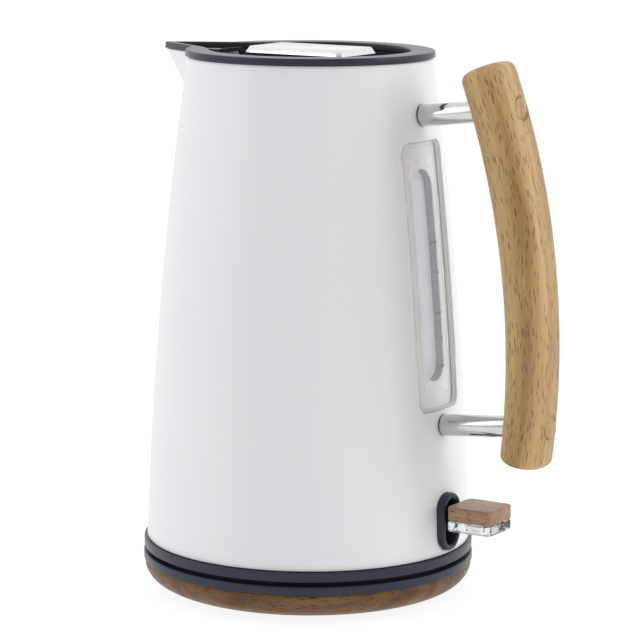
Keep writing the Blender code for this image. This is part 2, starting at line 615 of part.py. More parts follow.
def make_connector(hub):
    """The round contact post with its two contact rings and earth pin."""
    low = FLOOR_TOP + 2 * GAP
    step = PLATEAU_TOP - POST_STEP
    top = PLATEAU_TOP + POST_RISE
    pin_foot = step + EARTH_PIN_FOOT
    bore = EARTH_PIN_RADIUS + GAP
    profile = [(0, low), (POST_RADIUS, low), (POST_RADIUS, step), (POST_NECK_RADIUS, step),
               (POST_NECK_RADIUS, top - POST_NOSE), (POST_NECK_RADIUS - POST_NOSE, top), (bore, top), (bore, pin_foot),
               (0, pin_foot)]
    piece("connector_post", turned(profile, 20), BLACK, hub)
    piece("earth_pin", rod(EARTH_PIN_RADIUS, pin_foot + GAP, top - EARTH_PIN_RECESS, steps=12), BRASS, hub)
    for number, name in enumerate(("live_contact_ring", "neutral_contact_ring")):
        foot = step + CONTACT_START + number * (CONTACT_HEIGHT + CONTACT_SPACE)
        inner = POST_NECK_RADIUS + GAP
        piece(name, tube(inner, inner + CONTACT_WALL, foot, foot + CONTACT_HEIGHT, steps=16), BRASS, hub)


def make_jug_base(jug):
    upstand = BODY_BOTTOM_RADIUS - BODY_WALL - SHELL_CLEARANCE
    inner = upstand - JUG_RING_WALL
    top = JUG_RING_TOP + JUG_RING_UPSTAND
    edge = SMALL_EDGE
    profile = [(JUG_RING_RADIUS - edge, JUG_BOTTOM), (JUG_RING_RADIUS, JUG_BOTTOM + edge),
               (JUG_RING_RADIUS, JUG_RING_TOP - edge), (JUG_RING_RADIUS - edge, JUG_RING_TOP), (upstand, JUG_RING_TOP),
               (upstand, top), (inner, top), (inner, JUG_BOTTOM)]
    ring = piece("jug_bottom_ring", turned(profile, ROUND), SLATE, jug)
    cover_top = JUG_BOTTOM + COVER_WALL
    hole = SOCKET_RADIUS + GAP
    cover = piece("jug_base_cover", turned([(hole, JUG_BOTTOM), (inner - GAP, JUG_BOTTOM), (inner - GAP, cover_top),
                                            (hole, cover_top)], ROUND), BLACK, jug)
    shank = SCREW_RADIUS + GAP
    for number in range(3):
        turn = THIRD * number + COVER_SCREW_START
        centre = Vector((COVER_SCREW_CIRCLE * math.cos(turn), COVER_SCREW_CIRCLE * math.sin(turn), 0))
        boss_low = cover_top + GAP
        boss_radius = upstand - JUG_RING_WALL / 2 - COVER_SCREW_CIRCLE
        boolean(ring, f"cover_boss_{number + 1}", rod(boss_radius, boss_low, top, centre), "UNION")
        boolean(ring, f"cover_pilot_{number + 1}", rod(shank, 0, top - SCREW_SPARE, centre, steps=10))
        head = JUG_BOTTOM + SCREW_HEAD_HEIGHT
        boolean(cover, f"cover_pocket_{number + 1}", rod(SCREW_HEAD_RADIUS + GAP, 0, head + GAP, centre, steps=12))
        boolean(cover, f"cover_hole_{number + 1}", rod(shank, JUG_BOTTOM + GAP, BODY_TOP, centre, steps=10))
        piece(f"cover_screw_{number + 1}", screw(head - SCREW_HEAD_HEIGHT + HAIR, head, top - 2 * SCREW_SPARE, centre),
              STEEL, jug)
    return cover_top


def make_heater(jug, cover_top):
    plate_radius = body_radius(HEATER_BOTTOM + HEATER_THICKNESS) - BODY_WALL - SHELL_CLEARANCE
    plate_top = HEATER_BOTTOM + HEATER_THICKNESS
    plate = piece("heating_plate", turned([(0, HEATER_BOTTOM), (plate_radius, HEATER_BOTTOM), (plate_radius, plate_top),
                                           (0, plate_top)], ROUND), STEEL, jug)
    diffuser_top = HEATER_BOTTOM - GAP
    diffuser_low = diffuser_top - DIFFUSER_THICKNESS
    piece("diffuser_plate", turned([(0, diffuser_low), (DIFFUSER_RADIUS, diffuser_low), (DIFFUSER_RADIUS, diffuser_top),
                                    (0, diffuser_top)], ROUND), ALUMINIUM, jug)
    bm = bmesh.new()
    middle = diffuser_low - GAP - ELEMENT_TUBE
    start = Matrix.Translation((ELEMENT_RADIUS, 0, middle)) @ Matrix.Rotation(math.pi / 2, 4, "X")
    made = bmesh.ops.create_circle(bm, cap_ends=True, segments=8, radius=ELEMENT_TUBE, matrix=start)
    bmesh.ops.spin(bm, geom=made["verts"] + bm.edges[:] + bm.faces[:], cent=(0, 0, 0), axis=(0, 0, 1), angle=ELEMENT_ARC,
                   steps=20)
    bm.transform(Matrix.Rotation((2 * math.pi - ELEMENT_ARC) / 2 + math.pi, 4, "Z"))
    piece("element_ring", bm, ALUMINIUM, jug)
    box_low = cover_top + GAP
    behind = -CONTROL_BEHIND
    beside = CONTROL_WIDTH / 2
    unit = piece("control_unit", box((behind, -beside, box_low),
                                     (behind + CONTROL_LENGTH, beside, box_low + CONTROL_HEIGHT)), BLACK, jug)
    boolean(unit, "socket_barrel", rod(SOCKET_RADIUS, JUG_BOTTOM, box_low + BARREL_LAP, steps=24), "UNION")
    boolean(unit, "socket_bore", rod(POST_RADIUS + FIT, 0, PLATEAU_TOP + POST_RISE + SOCKET_HEADROOM, steps=20))
    low = Vector((0, 0, BODY_BOTTOM + STEAM_TUBE_FOOT))
    high = Vector((0, 0, BODY_BOTTOM + STEAM_TUBE_TOP))
    for end in (low, high):
        reach = body_radius(end.z) - BODY_WALL - STEAM_TUBE_RADIUS - STEAM_TUBE_OFF_WALL
        end.x = reach * math.cos(STEAM_TUBE_ANGLE)
        end.y = reach * math.sin(STEAM_TUBE_ANGLE)
    along = high - low
    piece("steam_tube", tube(STEAM_TUBE_BORE, STEAM_TUBE_RADIUS, 0, along.length, low, along, 14), BLACK, jug)
    boolean(plate, "steam_cutter", rod(STEAM_TUBE_RADIUS + FIT, 0, along.length, low, along, 14))


def post_line(height, tilt):
    """Where a handle post leaves the wall, and its direction."""
    z = BODY_BOTTOM + height
    return Vector((body_radius(z), 0, z)), Vector((math.cos(tilt), 0, math.sin(tilt)))


def reach_to_arc(root, along, radius):
    """Distance along a post to an arc about the handle's centre of curvature."""
    offset = root - Vector((HANDLE_ARC_X, 0, HANDLE_ARC_HEIGHT))
    half = offset.dot(along)
    return -half + math.sqrt(half**2 - offset.dot(offset) + radius**2)


def make_handle(jug):
    outline = rounded_outline(HANDLE_DEPTH, HANDLE_WIDTH, HANDLE_CORNER, 3)
    inset = HANDLE_END_ROUNDING / HANDLE_ARC_RADIUS
    turns = np.linspace(0, math.pi / 2, 3)
    ends = [(inset * (1 - math.cos(t)), 1 - 2 * HANDLE_END_ROUNDING * (1 - math.sin(t)) / HANDLE_WIDTH) for t in turns]
    middle = np.linspace(HANDLE_BOTTOM_ANGLE + inset, HANDLE_TOP_ANGLE - inset, 10)[1:-1]
    stations = [(HANDLE_BOTTOM_ANGLE + back, scale) for back, scale in ends] + [(angle, 1.0) for angle in middle]
    stations += [(HANDLE_TOP_ANGLE - back, scale) for back, scale in ends[::-1]]
    bm = bmesh.new()
    rings = []
    for angle, scale in stations:
        ring = []
        for x, y in outline:
            radius = HANDLE_ARC_RADIUS + x * scale
            ring.append(bm.verts.new((HANDLE_ARC_X + radius * math.cos(angle), y * scale,
                                      HANDLE_ARC_HEIGHT + radius * math.sin(angle))))
        rings.append(ring)
    for ring, following in zip(rings, rings[1:]):
        for i in range(len(ring)):
            j = (i + 1) % len(ring)
            bm.faces.new((ring[i], ring[j], following[j], following[i]))
    bm.faces.new(rings[0][::-1])
    bm.faces.new(rings[-1])
    grip = piece("handle_grip", bm, BEECH, jug)
    for name, (height, tilt) in POSTS.items():
        root, along = post_line(height, tilt)
        inner = reach_to_arc(root, along, HANDLE_ARC_RADIUS - HANDLE_DEPTH / 2)
        outer = reach_to_arc(root, along, HANDLE_ARC_RADIUS + HANDLE_DEPTH / 2)
        seat = outer - PLUG_DEPTH
        head = seat - GAP - BOLT_HEAD_HEIGHT
        hole = BOLT_RADIUS + FIT
        socket = POST_TUBE_RADIUS + GAP
        bore = PLUG_RADIUS + GAP
        socket_end = inner + POST_SOCKET_DEPTH
        stepped = [(0, inner - CLEAR_OF / 2), (socket, inner - CLEAR_OF / 2), (socket, socket_end), (hole, socket_end),
                   (hole, head - GAP), (bore, head - GAP), (bore, outer + CLEAR_OF / 2), (0, outer + CLEAR_OF / 2)]
        boolean(grip, f"grip_bore_{name}", turned_at(stepped, root, along, 20))
        foot = 2 * GAP + GASKET_THICKNESS
        piece(f"post_gasket_{name}", tube(hole, POST_TUBE_RADIUS, GAP, GAP + GASKET_THICKNESS, root, along, 12),
              RUBBER, jug)
        piece(f"handle_post_{name}", tube(hole, POST_TUBE_RADIUS, foot, inner + POST_SOCKET_DEPTH - GAP, root, along,
                                          16), CHROME, jug)
        inside = -BODY_WALL - GAP
        tip = inside - NUT_HEIGHT - BOLT_SPARE
        bolt = [(0, tip), (BOLT_RADIUS, tip), (BOLT_RADIUS, head), (BOLT_HEAD_RADIUS, head),
                (BOLT_HEAD_RADIUS, head + BOLT_HEAD_HEIGHT), (0, head + BOLT_HEAD_HEIGHT)]
        piece(f"handle_bolt_{name}", turned_at(bolt, root, along, 10), STEEL, jug)
        seating = inside - GAP
        piece(f"handle_nut_{name}", tube(hole, NUT_RADIUS, seating - NUT_HEIGHT, seating, root, along, 6), STEEL,
              jug)
        piece(f"handle_plug_{name}", rod(PLUG_RADIUS, seat, outer, root, along, 12), BEECH, jug)


def wall_slab(outset, inset, low, high, half_angle, rows=6, columns=4):
    """A closed curved slab that follows the body's side at the handle, between two offsets from its surface."""
    turns = np.linspace(-half_angle, half_angle, columns + 1)
    heights = np.linspace(low, high, rows + 1)

    def sheet(offset):
        return [[((body_radius(z) + offset) * math.cos(t), (body_radius(z) + offset) * math.sin(t), z) for t in turns]
                for z in heights]

    bm = bmesh.new()
    front = [[bm.verts.new(p) for p in row] for row in sheet(outset)]
    back = [[bm.verts.new(p) for p in row] for row in sheet(inset)]
    for grid, flip in ((front, False), (back, True)):
        for row, above in zip(grid, grid[1:]):
            for i in range(columns):
                face = (row[i], row[i + 1], above[i + 1], above[i])
                bm.faces.new(face[::-1] if flip else face)
    for a, b in ((front[0], back[0]), (back[-1], front[-1])):
        for i in range(columns):
            bm.faces.new((a[i + 1], a[i], b[i], b[i + 1]))
    for k, flip in ((0, False), (columns, True)):
        for j in range(rows):
            face = (front[j][k], front[j + 1][k], back[j + 1][k], back[j][k])
            bm.faces.new(face if not flip else face[::-1])
    return bm


def wall_plate(name, finish, jug, outset, thickness, width, height, corner, hole=None):
    """A rounded plate that follows the wall at the handle side, with an optional hole through it."""
    centre = BODY_BOTTOM + WINDOW_BOTTOM + WINDOW_HEIGHT / 2
    reach = height / 2 + PLATE_SPARE
    slab = wall_slab(outset, outset - thickness, centre - reach, centre + reach, PLATE_HALF_ANGLE)
    made = piece(name, slab, finish, jug)
    boolean(made, f"{name}_outline", wall_prism(width, height, corner, centre, WALL_NEAR, WALL_FAR), "INTERSECT")
    if hole:
        boolean(made, f"{name}_hole", wall_prism(*hole, centre, WALL_NEAR, WALL_FAR, 5))


def make_window(jug):
    lap_width = WINDOW_WIDTH + 2 * LINER_LAP
    lap_height = WINDOW_HEIGHT + 2 * LINER_LAP
    sight = (SIGHT_WIDTH, WINDOW_HEIGHT - 2 * SIGHT_MARGIN, SIGHT_WIDTH / 2 - HAIR)
    wall_plate("window_lens", CLEAR, jug, 0.0, LENS_THICKNESS, WINDOW_WIDTH, WINDOW_HEIGHT, WINDOW_CORNER)
    gasket = LENS_THICKNESS - BODY_WALL - GAP
    lap = (lap_width, lap_height, WINDOW_CORNER + LINER_LAP)
    wall_plate("window_gasket", SILICONE, jug, -BODY_WALL - GAP, gasket, *lap,
               (WINDOW_WIDTH + 2 * GAP, WINDOW_HEIGHT + 2 * GAP, WINDOW_CORNER))
    liner = -LENS_THICKNESS - GAP
    wall_plate("window_liner", CLEAR, jug, liner, LINER_THICKNESS, *lap, sight)
    clamp = liner - LINER_THICKNESS - GAP
    wall_plate("window_clamp", STEEL, jug, clamp, CLAMP_THICKNESS, *lap,
               (sight[0] + 2 * SIGHT_LIP, sight[1] + 2 * SIGHT_LIP, SIGHT_WIDTH / 2))


def make_switch(jug, lever, pivot, cover_top):
    z = BODY_BOTTOM + BEZEL_CENTRE
    back = body_radius(z - BEZEL_HEIGHT / 2) + GAP
    front = back + BEZEL_PROUD
    ring = wall_prism(BEZEL_WIDTH, BEZEL_HEIGHT, BEZEL_WIDTH / 2 - HAIR, z, back, front, 6)
    bezel = piece("switch_bezel", ring, SLATE, jug)
    neck = (BEZEL_WIDTH - 2 * BEZEL_LIP, BEZEL_HEIGHT - 2 * BEZEL_LIP, BEZEL_WIDTH / 2 - BEZEL_LIP - HAIR)
    boolean(bezel, "bezel_neck", wall_prism(*neck, z, back - BEZEL_DEPTH, back + BEZEL_PROUD / 2, 6), "UNION")
    slot = (BEZEL_WIDTH - 2 * BEZEL_RIM, BEZEL_HEIGHT - 2 * BEZEL_RIM, BEZEL_WIDTH / 2 - BEZEL_RIM - HAIR)
    boolean(bezel, "bezel_slot", wall_prism(*slot, z, back - CLEAR_OF, front + CLEAR_OF, 6))

    bracket_low = cover_top + GAP
    cheek = LEVER_ARM_WIDTH / 2 + CHEEK_PLAY
    outer = cheek + BRACKET_WALL
    bracket = piece("switch_bracket", box((pivot.x - BRACKET_REACH, -outer, bracket_low),
                                          (pivot.x + BRACKET_REACH, outer, pivot.z + BRACKET_RISE)), BLACK, jug)
    boolean(bracket, "bracket_gap", box((pivot.x - CLEAR_OF, -cheek, bracket_low + BRACKET_WALL),
                                        (pivot.x + CLEAR_OF, cheek, pivot.z + CLEAR_OF)))
    boolean(bracket, "bracket_bore", rod(PIVOT_PIN_RADIUS + GAP, -CLEAR_OF, CLEAR_OF, pivot, (0, 1, 0), 12))
    piece("switch_pivot_pin", rod(PIVOT_PIN_RADIUS, -outer, outer, pivot, (0, 1, 0), 12), STEEL, jug)
    lamp_z = JUG_RING_TOP + JUG_RING_UPSTAND + LAMP_RADIUS + LAMP_RISE
    lamp = Vector((pivot.x + BRACKET_REACH + GAP, 0, lamp_z))
    piece("indicator_lamp", rod(LAMP_RADIUS, 0, LAMP_LENGTH, lamp, (1, 0, 0), 12), CLEAR, jug)

    tab_near = front + TAB_STANDOFF
    tab_far = tab_near + TAB_LENGTH
    cap_low = pivot.z + TAB_RISE
    tongue_low = cap_low + GAP
    half = LEVER_ARM_WIDTH / 2
    hub_end = half + LEVER_HUB_PROUD
    arm_high = pivot.z + LEVER_ARM_THICKNESS
    tongue_high = tongue_low + TONGUE_THICKNESS
    arm = piece("lever_arm", box((pivot.x, -half, pivot.z), (tab_near - GAP, half, arm_high)), BLACK, lever)
    boolean(arm, "lever_hub", rod(LEVER_HUB_RADIUS, -hub_end, hub_end, pivot, (0, 1, 0), 20), "UNION")
    tongue_far = tab_far - TONGUE_SHORT
    boolean(arm, "lever_tongue", box((tab_near - TONGUE_LAP, -half, tongue_low), (tongue_far, half, tongue_high)),
            "UNION")
    boolean(arm, "lever_bore", rod(PIVOT_PIN_RADIUS + GAP, -CLEAR_OF, CLEAR_OF, pivot, (0, 1, 0), 12))
    middle = Matrix.Translation(((tab_near + tab_far) / 2, 0, 0))
    outline = rounded_outline(TAB_LENGTH, TAB_WIDTH, TAB_CORNER)
    cap = piece("switch_wood_cap", prism(outline, cap_low, cap_low + WOOD_CAP_THICKNESS, middle), BEECH, lever)
    boolean(cap, "tongue_pocket", box((tab_near - CLEAR_OF, -half - GAP, cap_low - CLEAR_OF),
                                      (tongue_far + GAP, half + GAP, tongue_high + GAP)))
    clear_high = cap_low - GAP
    piece("switch_clear_tab", prism(outline, clear_high - CLEAR_TAB_THICKNESS, clear_high, middle), CLEAR, lever)


def main():
    clear_scene()
    axis = Vector((AXIS_X, 0, 0))
    base = empty("base_body", axis)
    connector = empty("connector_axis", axis + Vector((0, 0, PLATEAU_TOP)))
    jug = empty("jug_body", axis + Vector((0, 0, JUG_BOTTOM)))
    lid = empty("lid_axis", axis + Vector((0, 0, COLLAR_TOP)))
    strainer = empty("filter_axis", axis + Vector((-OPENING_RADIUS, 0, BODY_TOP)))
    pivot = Vector((BODY_BOTTOM_RADIUS - LEVER_PIVOT_INSET, 0, BODY_BOTTOM + BEZEL_CENTRE))
    lever = empty("lever_axis", axis + pivot)
    make_base(base)
    make_connector(connector)
    make_body(jug)
    make_collar(jug)
    make_neck(jug)
    make_filter(strainer)
    make_lid(lid)
    cover_top = make_jug_base(jug)
    make_heater(jug, cover_top)
    make_handle(jug)
    make_window(jug)
    make_switch(jug, lever, pivot, cover_top)


main()
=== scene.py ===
"""A cordless electric jug kettle: painted steel jug, beech grip on two metal posts, lift-out lid, power base.

Sizes are in millimetres from the jug's axis, which stands a little towards -X of the origin, and form() turns
them into metres. +X is the handle's side, -X the spout's, and the kettle stands on Z = 0.
"""

import json
import math

import bmesh
import bpy
import numpy as np
from mathutils import Matrix, Vector


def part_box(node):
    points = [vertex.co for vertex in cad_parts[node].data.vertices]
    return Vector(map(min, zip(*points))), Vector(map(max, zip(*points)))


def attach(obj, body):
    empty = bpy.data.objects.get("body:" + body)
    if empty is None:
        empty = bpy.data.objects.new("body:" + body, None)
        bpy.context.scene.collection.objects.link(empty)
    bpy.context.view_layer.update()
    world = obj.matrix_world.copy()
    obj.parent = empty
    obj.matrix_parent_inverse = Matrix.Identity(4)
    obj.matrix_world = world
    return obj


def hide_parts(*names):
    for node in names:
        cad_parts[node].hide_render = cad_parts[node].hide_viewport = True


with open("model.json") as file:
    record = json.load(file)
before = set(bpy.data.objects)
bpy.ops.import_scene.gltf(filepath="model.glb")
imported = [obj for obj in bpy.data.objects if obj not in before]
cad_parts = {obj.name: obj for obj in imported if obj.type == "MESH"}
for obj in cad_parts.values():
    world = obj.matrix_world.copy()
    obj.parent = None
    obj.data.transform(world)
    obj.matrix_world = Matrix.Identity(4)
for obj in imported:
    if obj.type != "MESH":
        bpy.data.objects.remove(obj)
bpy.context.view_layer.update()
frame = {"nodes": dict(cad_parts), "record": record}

# Studio: a white floor with no edge in view, a soft white surround that is dimmer behind the viewer, and two
# long soft lamps that draw the highlights down the jug and the grip.
VIEW_TURN = math.radians(32.5)
VIEW_DROP = math.radians(9.72)
VIEW_ROLL = math.radians(0.315)
VIEW_PLACE = (0.6957, -1.1202, 0.3545)
TOWARDS_VIEWER = Vector((math.sin(VIEW_TURN), -math.cos(VIEW_TURN), 0))
TO_VIEWERS_RIGHT = Vector((math.cos(VIEW_TURN), math.sin(VIEW_TURN), 0))

camera = bpy.data.objects.new("camera", bpy.data.cameras.new("camera"))
camera.data.lens = 162.3
camera.data.sensor_width = 36.0
camera.matrix_world = (Matrix.Translation(VIEW_PLACE) @ Matrix.Rotation(VIEW_TURN, 4, "Z")
                       @ Matrix.Rotation(math.pi / 2 - VIEW_DROP, 4, "X") @ Matrix.Rotation(VIEW_ROLL, 4,
                                                                                            "Z"))
bpy.context.scene.collection.objects.link(camera)
bpy.context.scene.camera = camera
bpy.context.scene.view_settings.view_transform = "Standard"


def node(tree, kind, inputs=None, **options):
    """Adds one shader node, sets its options, and sets or links its inputs."""
    made = tree.nodes.new("ShaderNode" + kind)
    for option, value in options.items():
        setattr(made, option, value)
    for socket, value in (inputs or {}).items():
        if isinstance(value, bpy.types.NodeSocket):
            tree.links.new(value, made.inputs[socket])
        else:
            made.inputs[socket].default_value = value
    return made


world = bpy.data.worlds.new("surround")
bpy.context.scene.world = world
world.use_nodes = True
sky = world.node_tree
direction = node(sky, "TexCoord").outputs["Generated"]
ahead = node(sky, "VectorMath", {0: direction, 1: TOWARDS_VIEWER}, operation="DOT_PRODUCT")
dimmer = node(sky, "MapRange", {"Value": ahead.outputs["Value"], "From Min": -0.1, "From Max": 1.0,
                                "To Min": 1.04,
                                "To Max": 0.36}, interpolation_type="SMOOTHSTEP")
sky.nodes["Background"].inputs["Color"].default_value = (1.0, 1.0, 1.0, 1.0)
sky.links.new(dimmer.outputs["Result"], sky.nodes["Background"].inputs["Strength"])


def lamp(name, place, aim, width, height, watts):
    """A rectangular soft lamp at a place, facing a point."""
    light = bpy.data.lights.new(name, "AREA")
    light.shape = "RECTANGLE"
    light.size, light.size_y, light.energy = width, height, watts
    stand = bpy.data.objects.new(name, light)
    facing = (Vector(aim) - Vector(place)).to_track_quat("-Z", "Y").to_matrix().to_4x4()
    stand.matrix_world = Matrix.Translation(place) @ facing
    bpy.context.scene.collection.objects.link(stand)


LAMP_LENGTH = 1.0
for name, across, nearer, height, aim_height, width, watts in (("left_lamp", -0.95, 0.35, 0.75, 0.12, 0.5,
                                                                1.5),
                                                               ("right_lamp", 0.95, 0.25, 0.55, 0.14, 0.35,
                                                                3.0)):
    place = tuple(across * TO_VIEWERS_RIGHT + nearer * TOWARDS_VIEWER + Vector((0, 0, height)))
    lamp(name, place, (0, 0, aim_height), width, LAMP_LENGTH, watts)

FLOOR_HALF = 14
floor_corners = [(x * FLOOR_HALF, y * FLOOR_HALF, 0) for x, y in ((-1, -1), (1, -1), (1, 1), (-1, 1))]
floor = bpy.data.meshes.new("floor")
floor.from_pydata(floor_corners, [], [(0, 1, 2, 3)])
floor.materials.append(bpy.data.materials.new("floor"))
floor.materials[0].use_nodes = True
paper = floor.materials[0].node_tree.nodes["Principled BSDF"]
for socket, value in {"Base Color": (0.2, 0.2, 0.2, 1), "Roughness": 0.9, "Specular IOR Level": 0.0,
                      "Emission Color": (1, 1, 1, 1), "Emission Strength": 0.88}.items():
    paper.inputs[socket].default_value = value
ground = bpy.data.objects.new("floor", floor)
bpy.context.scene.collection.objects.link(ground)

# Wooden foot ring of the power base: a dish turned from one beech plank, so its fibres run straight across
# it, with a hole at the back for the cord's gland. Its tones are far darker than the grip's beech, as
# painted shade on a ring that faces down.
AXIS = sum(corner.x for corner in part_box("base_wood_ring")) / 2
MM_IN_METRE = 1000
WELD_DISTANCE = 2e-7
EASE_STEPS = 6


def reach(name):
    """Lowest and highest corner of a node, in millimetres from the jug's axis."""
    return [(np.array(corner) - (AXIS, 0, 0)) * MM_IN_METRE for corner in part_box(name)]


def turned(profile, steps=192, centre=(0, 0, 0), along=(0, 0, 1)):
    """Rows of a turned surface. Each profile point (r, z) goes round as (r cos a, r sin a, z), and the
    circle's axis is then laid along a direction from a centre."""
    turn = np.linspace(0, 2 * math.pi, steps, endpoint=False)
    r, z = np.asarray(profile, float).T[:, :, None]
    rows = np.stack([r * np.cos(turn), r * np.sin(turn), z + 0 * turn], -1)
    lay = np.array(Vector((0, 0, 1)).rotation_difference(Vector(along)).to_matrix())
    return rows @ lay.T + centre


def eased(corners, radii):
    """A closed outline with each corner B rounded over a radius: (1-t)^2 A + 2t(1-t) B + t^2 C, where A and C
    lie a radius away from B on its two sides."""
    corners = np.asarray(corners, float)
    radii = np.broadcast_to(np.asarray(radii, float), len(corners))
    before, after = np.roll(corners, 1, 0) - corners, np.roll(corners, -1, 0) - corners
    start = corners + before * (radii / np.linalg.norm(before, axis=1))[:, None]
    end = corners + after * (radii / np.linalg.norm(after, axis=1))[:, None]
    t = np.linspace(0, 1, EASE_STEPS)[None, :, None]
    return ((1 - t) ** 2 * start[:, None] + 2 * t * (1 - t) * corners[:,
                                                                      None] + t**2 * end[:, None]).reshape(-1,
                                                                                                           2)


def form(name, rows, join="ends", sharp=40.0, grain=None):
    """A mesh object from a grid of points in millimetres: quads join neighbouring rows, and each row closes
    on itself. With join "loop" the last row joins the first, with "ends" a flat face closes each end row, and
    with "weld" the end rows have shrunk to a point or a line whose points are welded."""
    rows = np.asarray(rows, float)
    count, around = rows.shape[:2]
    index = np.arange(count * around).reshape(count, around)
    upper = np.roll(index, -1, axis=0)
    lower = index
    if join != "loop":
        upper, lower = upper[:-1], lower[:-1]
    quads = np.stack([lower, np.roll(lower, -1, 1), np.roll(upper, -1, 1), upper], -1).reshape(-1, 4).tolist()
    if join == "ends":
        quads += [index[0, ::-1].tolist(), index[-1].tolist()]
    mesh = bpy.data.meshes.new(name)
    mesh.from_pydata((rows.reshape(-1, 3) / MM_IN_METRE + (AXIS, 0, 0)).tolist(), [], quads)
    if grain is not None:
        mesh.attributes.new("grain", "FLOAT_VECTOR", "POINT").data.foreach_set(
            "vector", (np.asarray(grain, np.float32) / MM_IN_METRE).ravel())
    smith = bmesh.new()
    smith.from_mesh(mesh)
    bmesh.ops.remove_doubles(smith, verts=smith.verts, dist=WELD_DISTANCE)
    bmesh.ops.recalc_face_normals(smith, faces=smith.faces)
    smith.to_mesh(mesh)
    smith.free()
    mesh.shade_smooth()
    mesh.set_sharp_from_angle(angle=math.radians(sharp))
    made = bpy.data.objects.new(name, mesh)
    bpy.context.scene.collection.objects.link(made)
    return made


def carve(piece, *cutters):
    """Cuts each helper solid out of a piece and throws the helper away."""
    for cutter in cutters:
        cut = piece.modifiers.new(cutter.name, "BOOLEAN")
        cut.operation, cut.solver, cut.object = "DIFFERENCE", "EXACT", cutter
    whole = piece.data
    graph = bpy.context.evaluated_depsgraph_get()
    piece.data = bpy.data.meshes.new_from_object(piece.evaluated_get(graph))
    piece.modifiers.clear()
    bpy.data.meshes.remove(whole)
    for cutter in cutters:
        bpy.data.objects.remove(cutter)
    piece.data.name = piece.name


def fit(piece, material, body, slot, *nodes):
    """Gives the piece its material, or None where it already has some. The piece moves with its body and
    stands for its nodes, which are hidden. The slot is not used."""
    if material:
        piece.data.materials.append(material)
    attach(piece, body)
    if nodes:
        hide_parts(*nodes)


def mixed(tree, share, first, second):
    """A colour that goes from the first to the second as a share goes from 0 to 1."""
    made = node(tree, "Mix", {"Factor": share}, data_type="RGBA")
    for socket, value in ((made.inputs[6], first), (made.inputs[7], second)):
        if isinstance(value, bpy.types.NodeSocket):
            tree.links.new(value, socket)
        else:
            socket.default_value = (*value, 1.0)
    return made.outputs[2]


def ranged(tree, value, low, high, start=0.0, end=1.0):
    """A value taken from one range to another, and held at its ends."""
    return node(tree, "MapRange", {"Value": value, "From Min": low, "From Max": high, "To Min": start,
                                   "To Max": end}).outputs["Result"]


def scaled(tree, vector, factor):
    """A vector with each of its three parts multiplied."""
    return node(tree, "VectorMath", {0: vector, 1: factor}, operation="MULTIPLY").outputs["Vector"]


def group(name, inputs, outputs):
    """An empty shader node group with named sockets, its input node and its output node."""
    made = bpy.data.node_groups.new(name, "ShaderNodeTree")
    for side, sockets in (("INPUT", inputs), ("OUTPUT", outputs)):
        for socket, kind in sockets.items():
            made.interface.new_socket(socket, in_out=side, socket_type="NodeSocket" + kind)
    return made, made.nodes.new("NodeGroupInput").outputs, made.nodes.new("NodeGroupOutput").inputs


# Beech: pale bands and finer fibres along the wood, and short dark ray flecks, each a small spindle in the
# solid. Each count is per metre, first along the fibres and then across them.
WANDER = (0.0, 0.003, 0.003)
BANDS, FIBRES, FLECKS = (9.0, 130.0, 130.0), (70.0, 1500.0, 1500.0), (150.0, 1100.0, 1100.0)
FLECK_SHAPE = (2.7, 3.9, 3.9)
beech, given, out = group("beech", {"Grain": "Vector", "Pale": "Color", "Deep": "Color", "Fleck": "Color",
                                    "Fleck strength": "Float"},
                          {"Color": "Color", "Roughness": "Float", "Height": "Float"})
wander = node(beech, "TexNoise", {"Vector": given["Grain"], "Scale": 28.0, "Detail": 1.0})
bent = node(beech, "VectorMath", {0: wander.outputs["Color"], 1: WANDER, 2: given["Grain"]},
            operation="MULTIPLY_ADD").outputs["Vector"]
wide = scaled(beech, bent, BANDS)
bands = node(beech, "TexNoise", {"Vector": wide, "Scale": 1.0, "Detail": 3.0,
                                 "Roughness": 0.55}).outputs["Fac"]
thin = scaled(beech, bent, FIBRES)
fibres = node(beech, "TexNoise", {"Vector": thin, "Scale": 1.0, "Detail": 2.0}).outputs["Fac"]
cells = scaled(beech, bent, FLECKS)
rays = node(beech, "TexVoronoi", {"Vector": cells, "Scale": 1.0, "Randomness": 0.8})
offset = node(beech, "VectorMath", {0: cells, 1: rays.outputs["Position"]},
              operation="SUBTRACT").outputs["Vector"]
spindle = scaled(beech, offset, FLECK_SHAPE)
length = node(beech, "VectorMath", {0: spindle}, operation="LENGTH").outputs["Value"]
inside = ranged(beech, length, 1.0, 0.72)
scarce = ranged(beech, node(beech, "TexNoise", {"Vector": wide, "Scale": 0.6}).outputs["Fac"], 0.24, 0.38)
flecks = node(beech, "Math", {0: inside, 1: scarce}, operation="MULTIPLY").outputs["Value"]
marked = node(beech, "Math", {0: flecks, 1: given["Fleck strength"]}, operation="MULTIPLY").outputs["Value"]
ground_tone = mixed(beech, ranged(beech, bands, 0.38, 0.66), given["Pale"], given["Deep"])
fine_tone = mixed(beech, ranged(beech, fibres, 0.45, 0.75, 0.0, 0.22), ground_tone, given["Fleck"])
beech.links.new(mixed(beech, marked, fine_tone, given["Fleck"]), out["Color"])
beech.links.new(ranged(beech, fibres, 0.3, 0.7, 0.34, 0.46), out["Roughness"])
beech.links.new(node(beech, "Math", {0: flecks, 1: -0.6, 2: fibres},
                     operation="MULTIPLY_ADD").outputs["Value"],
                out["Height"])


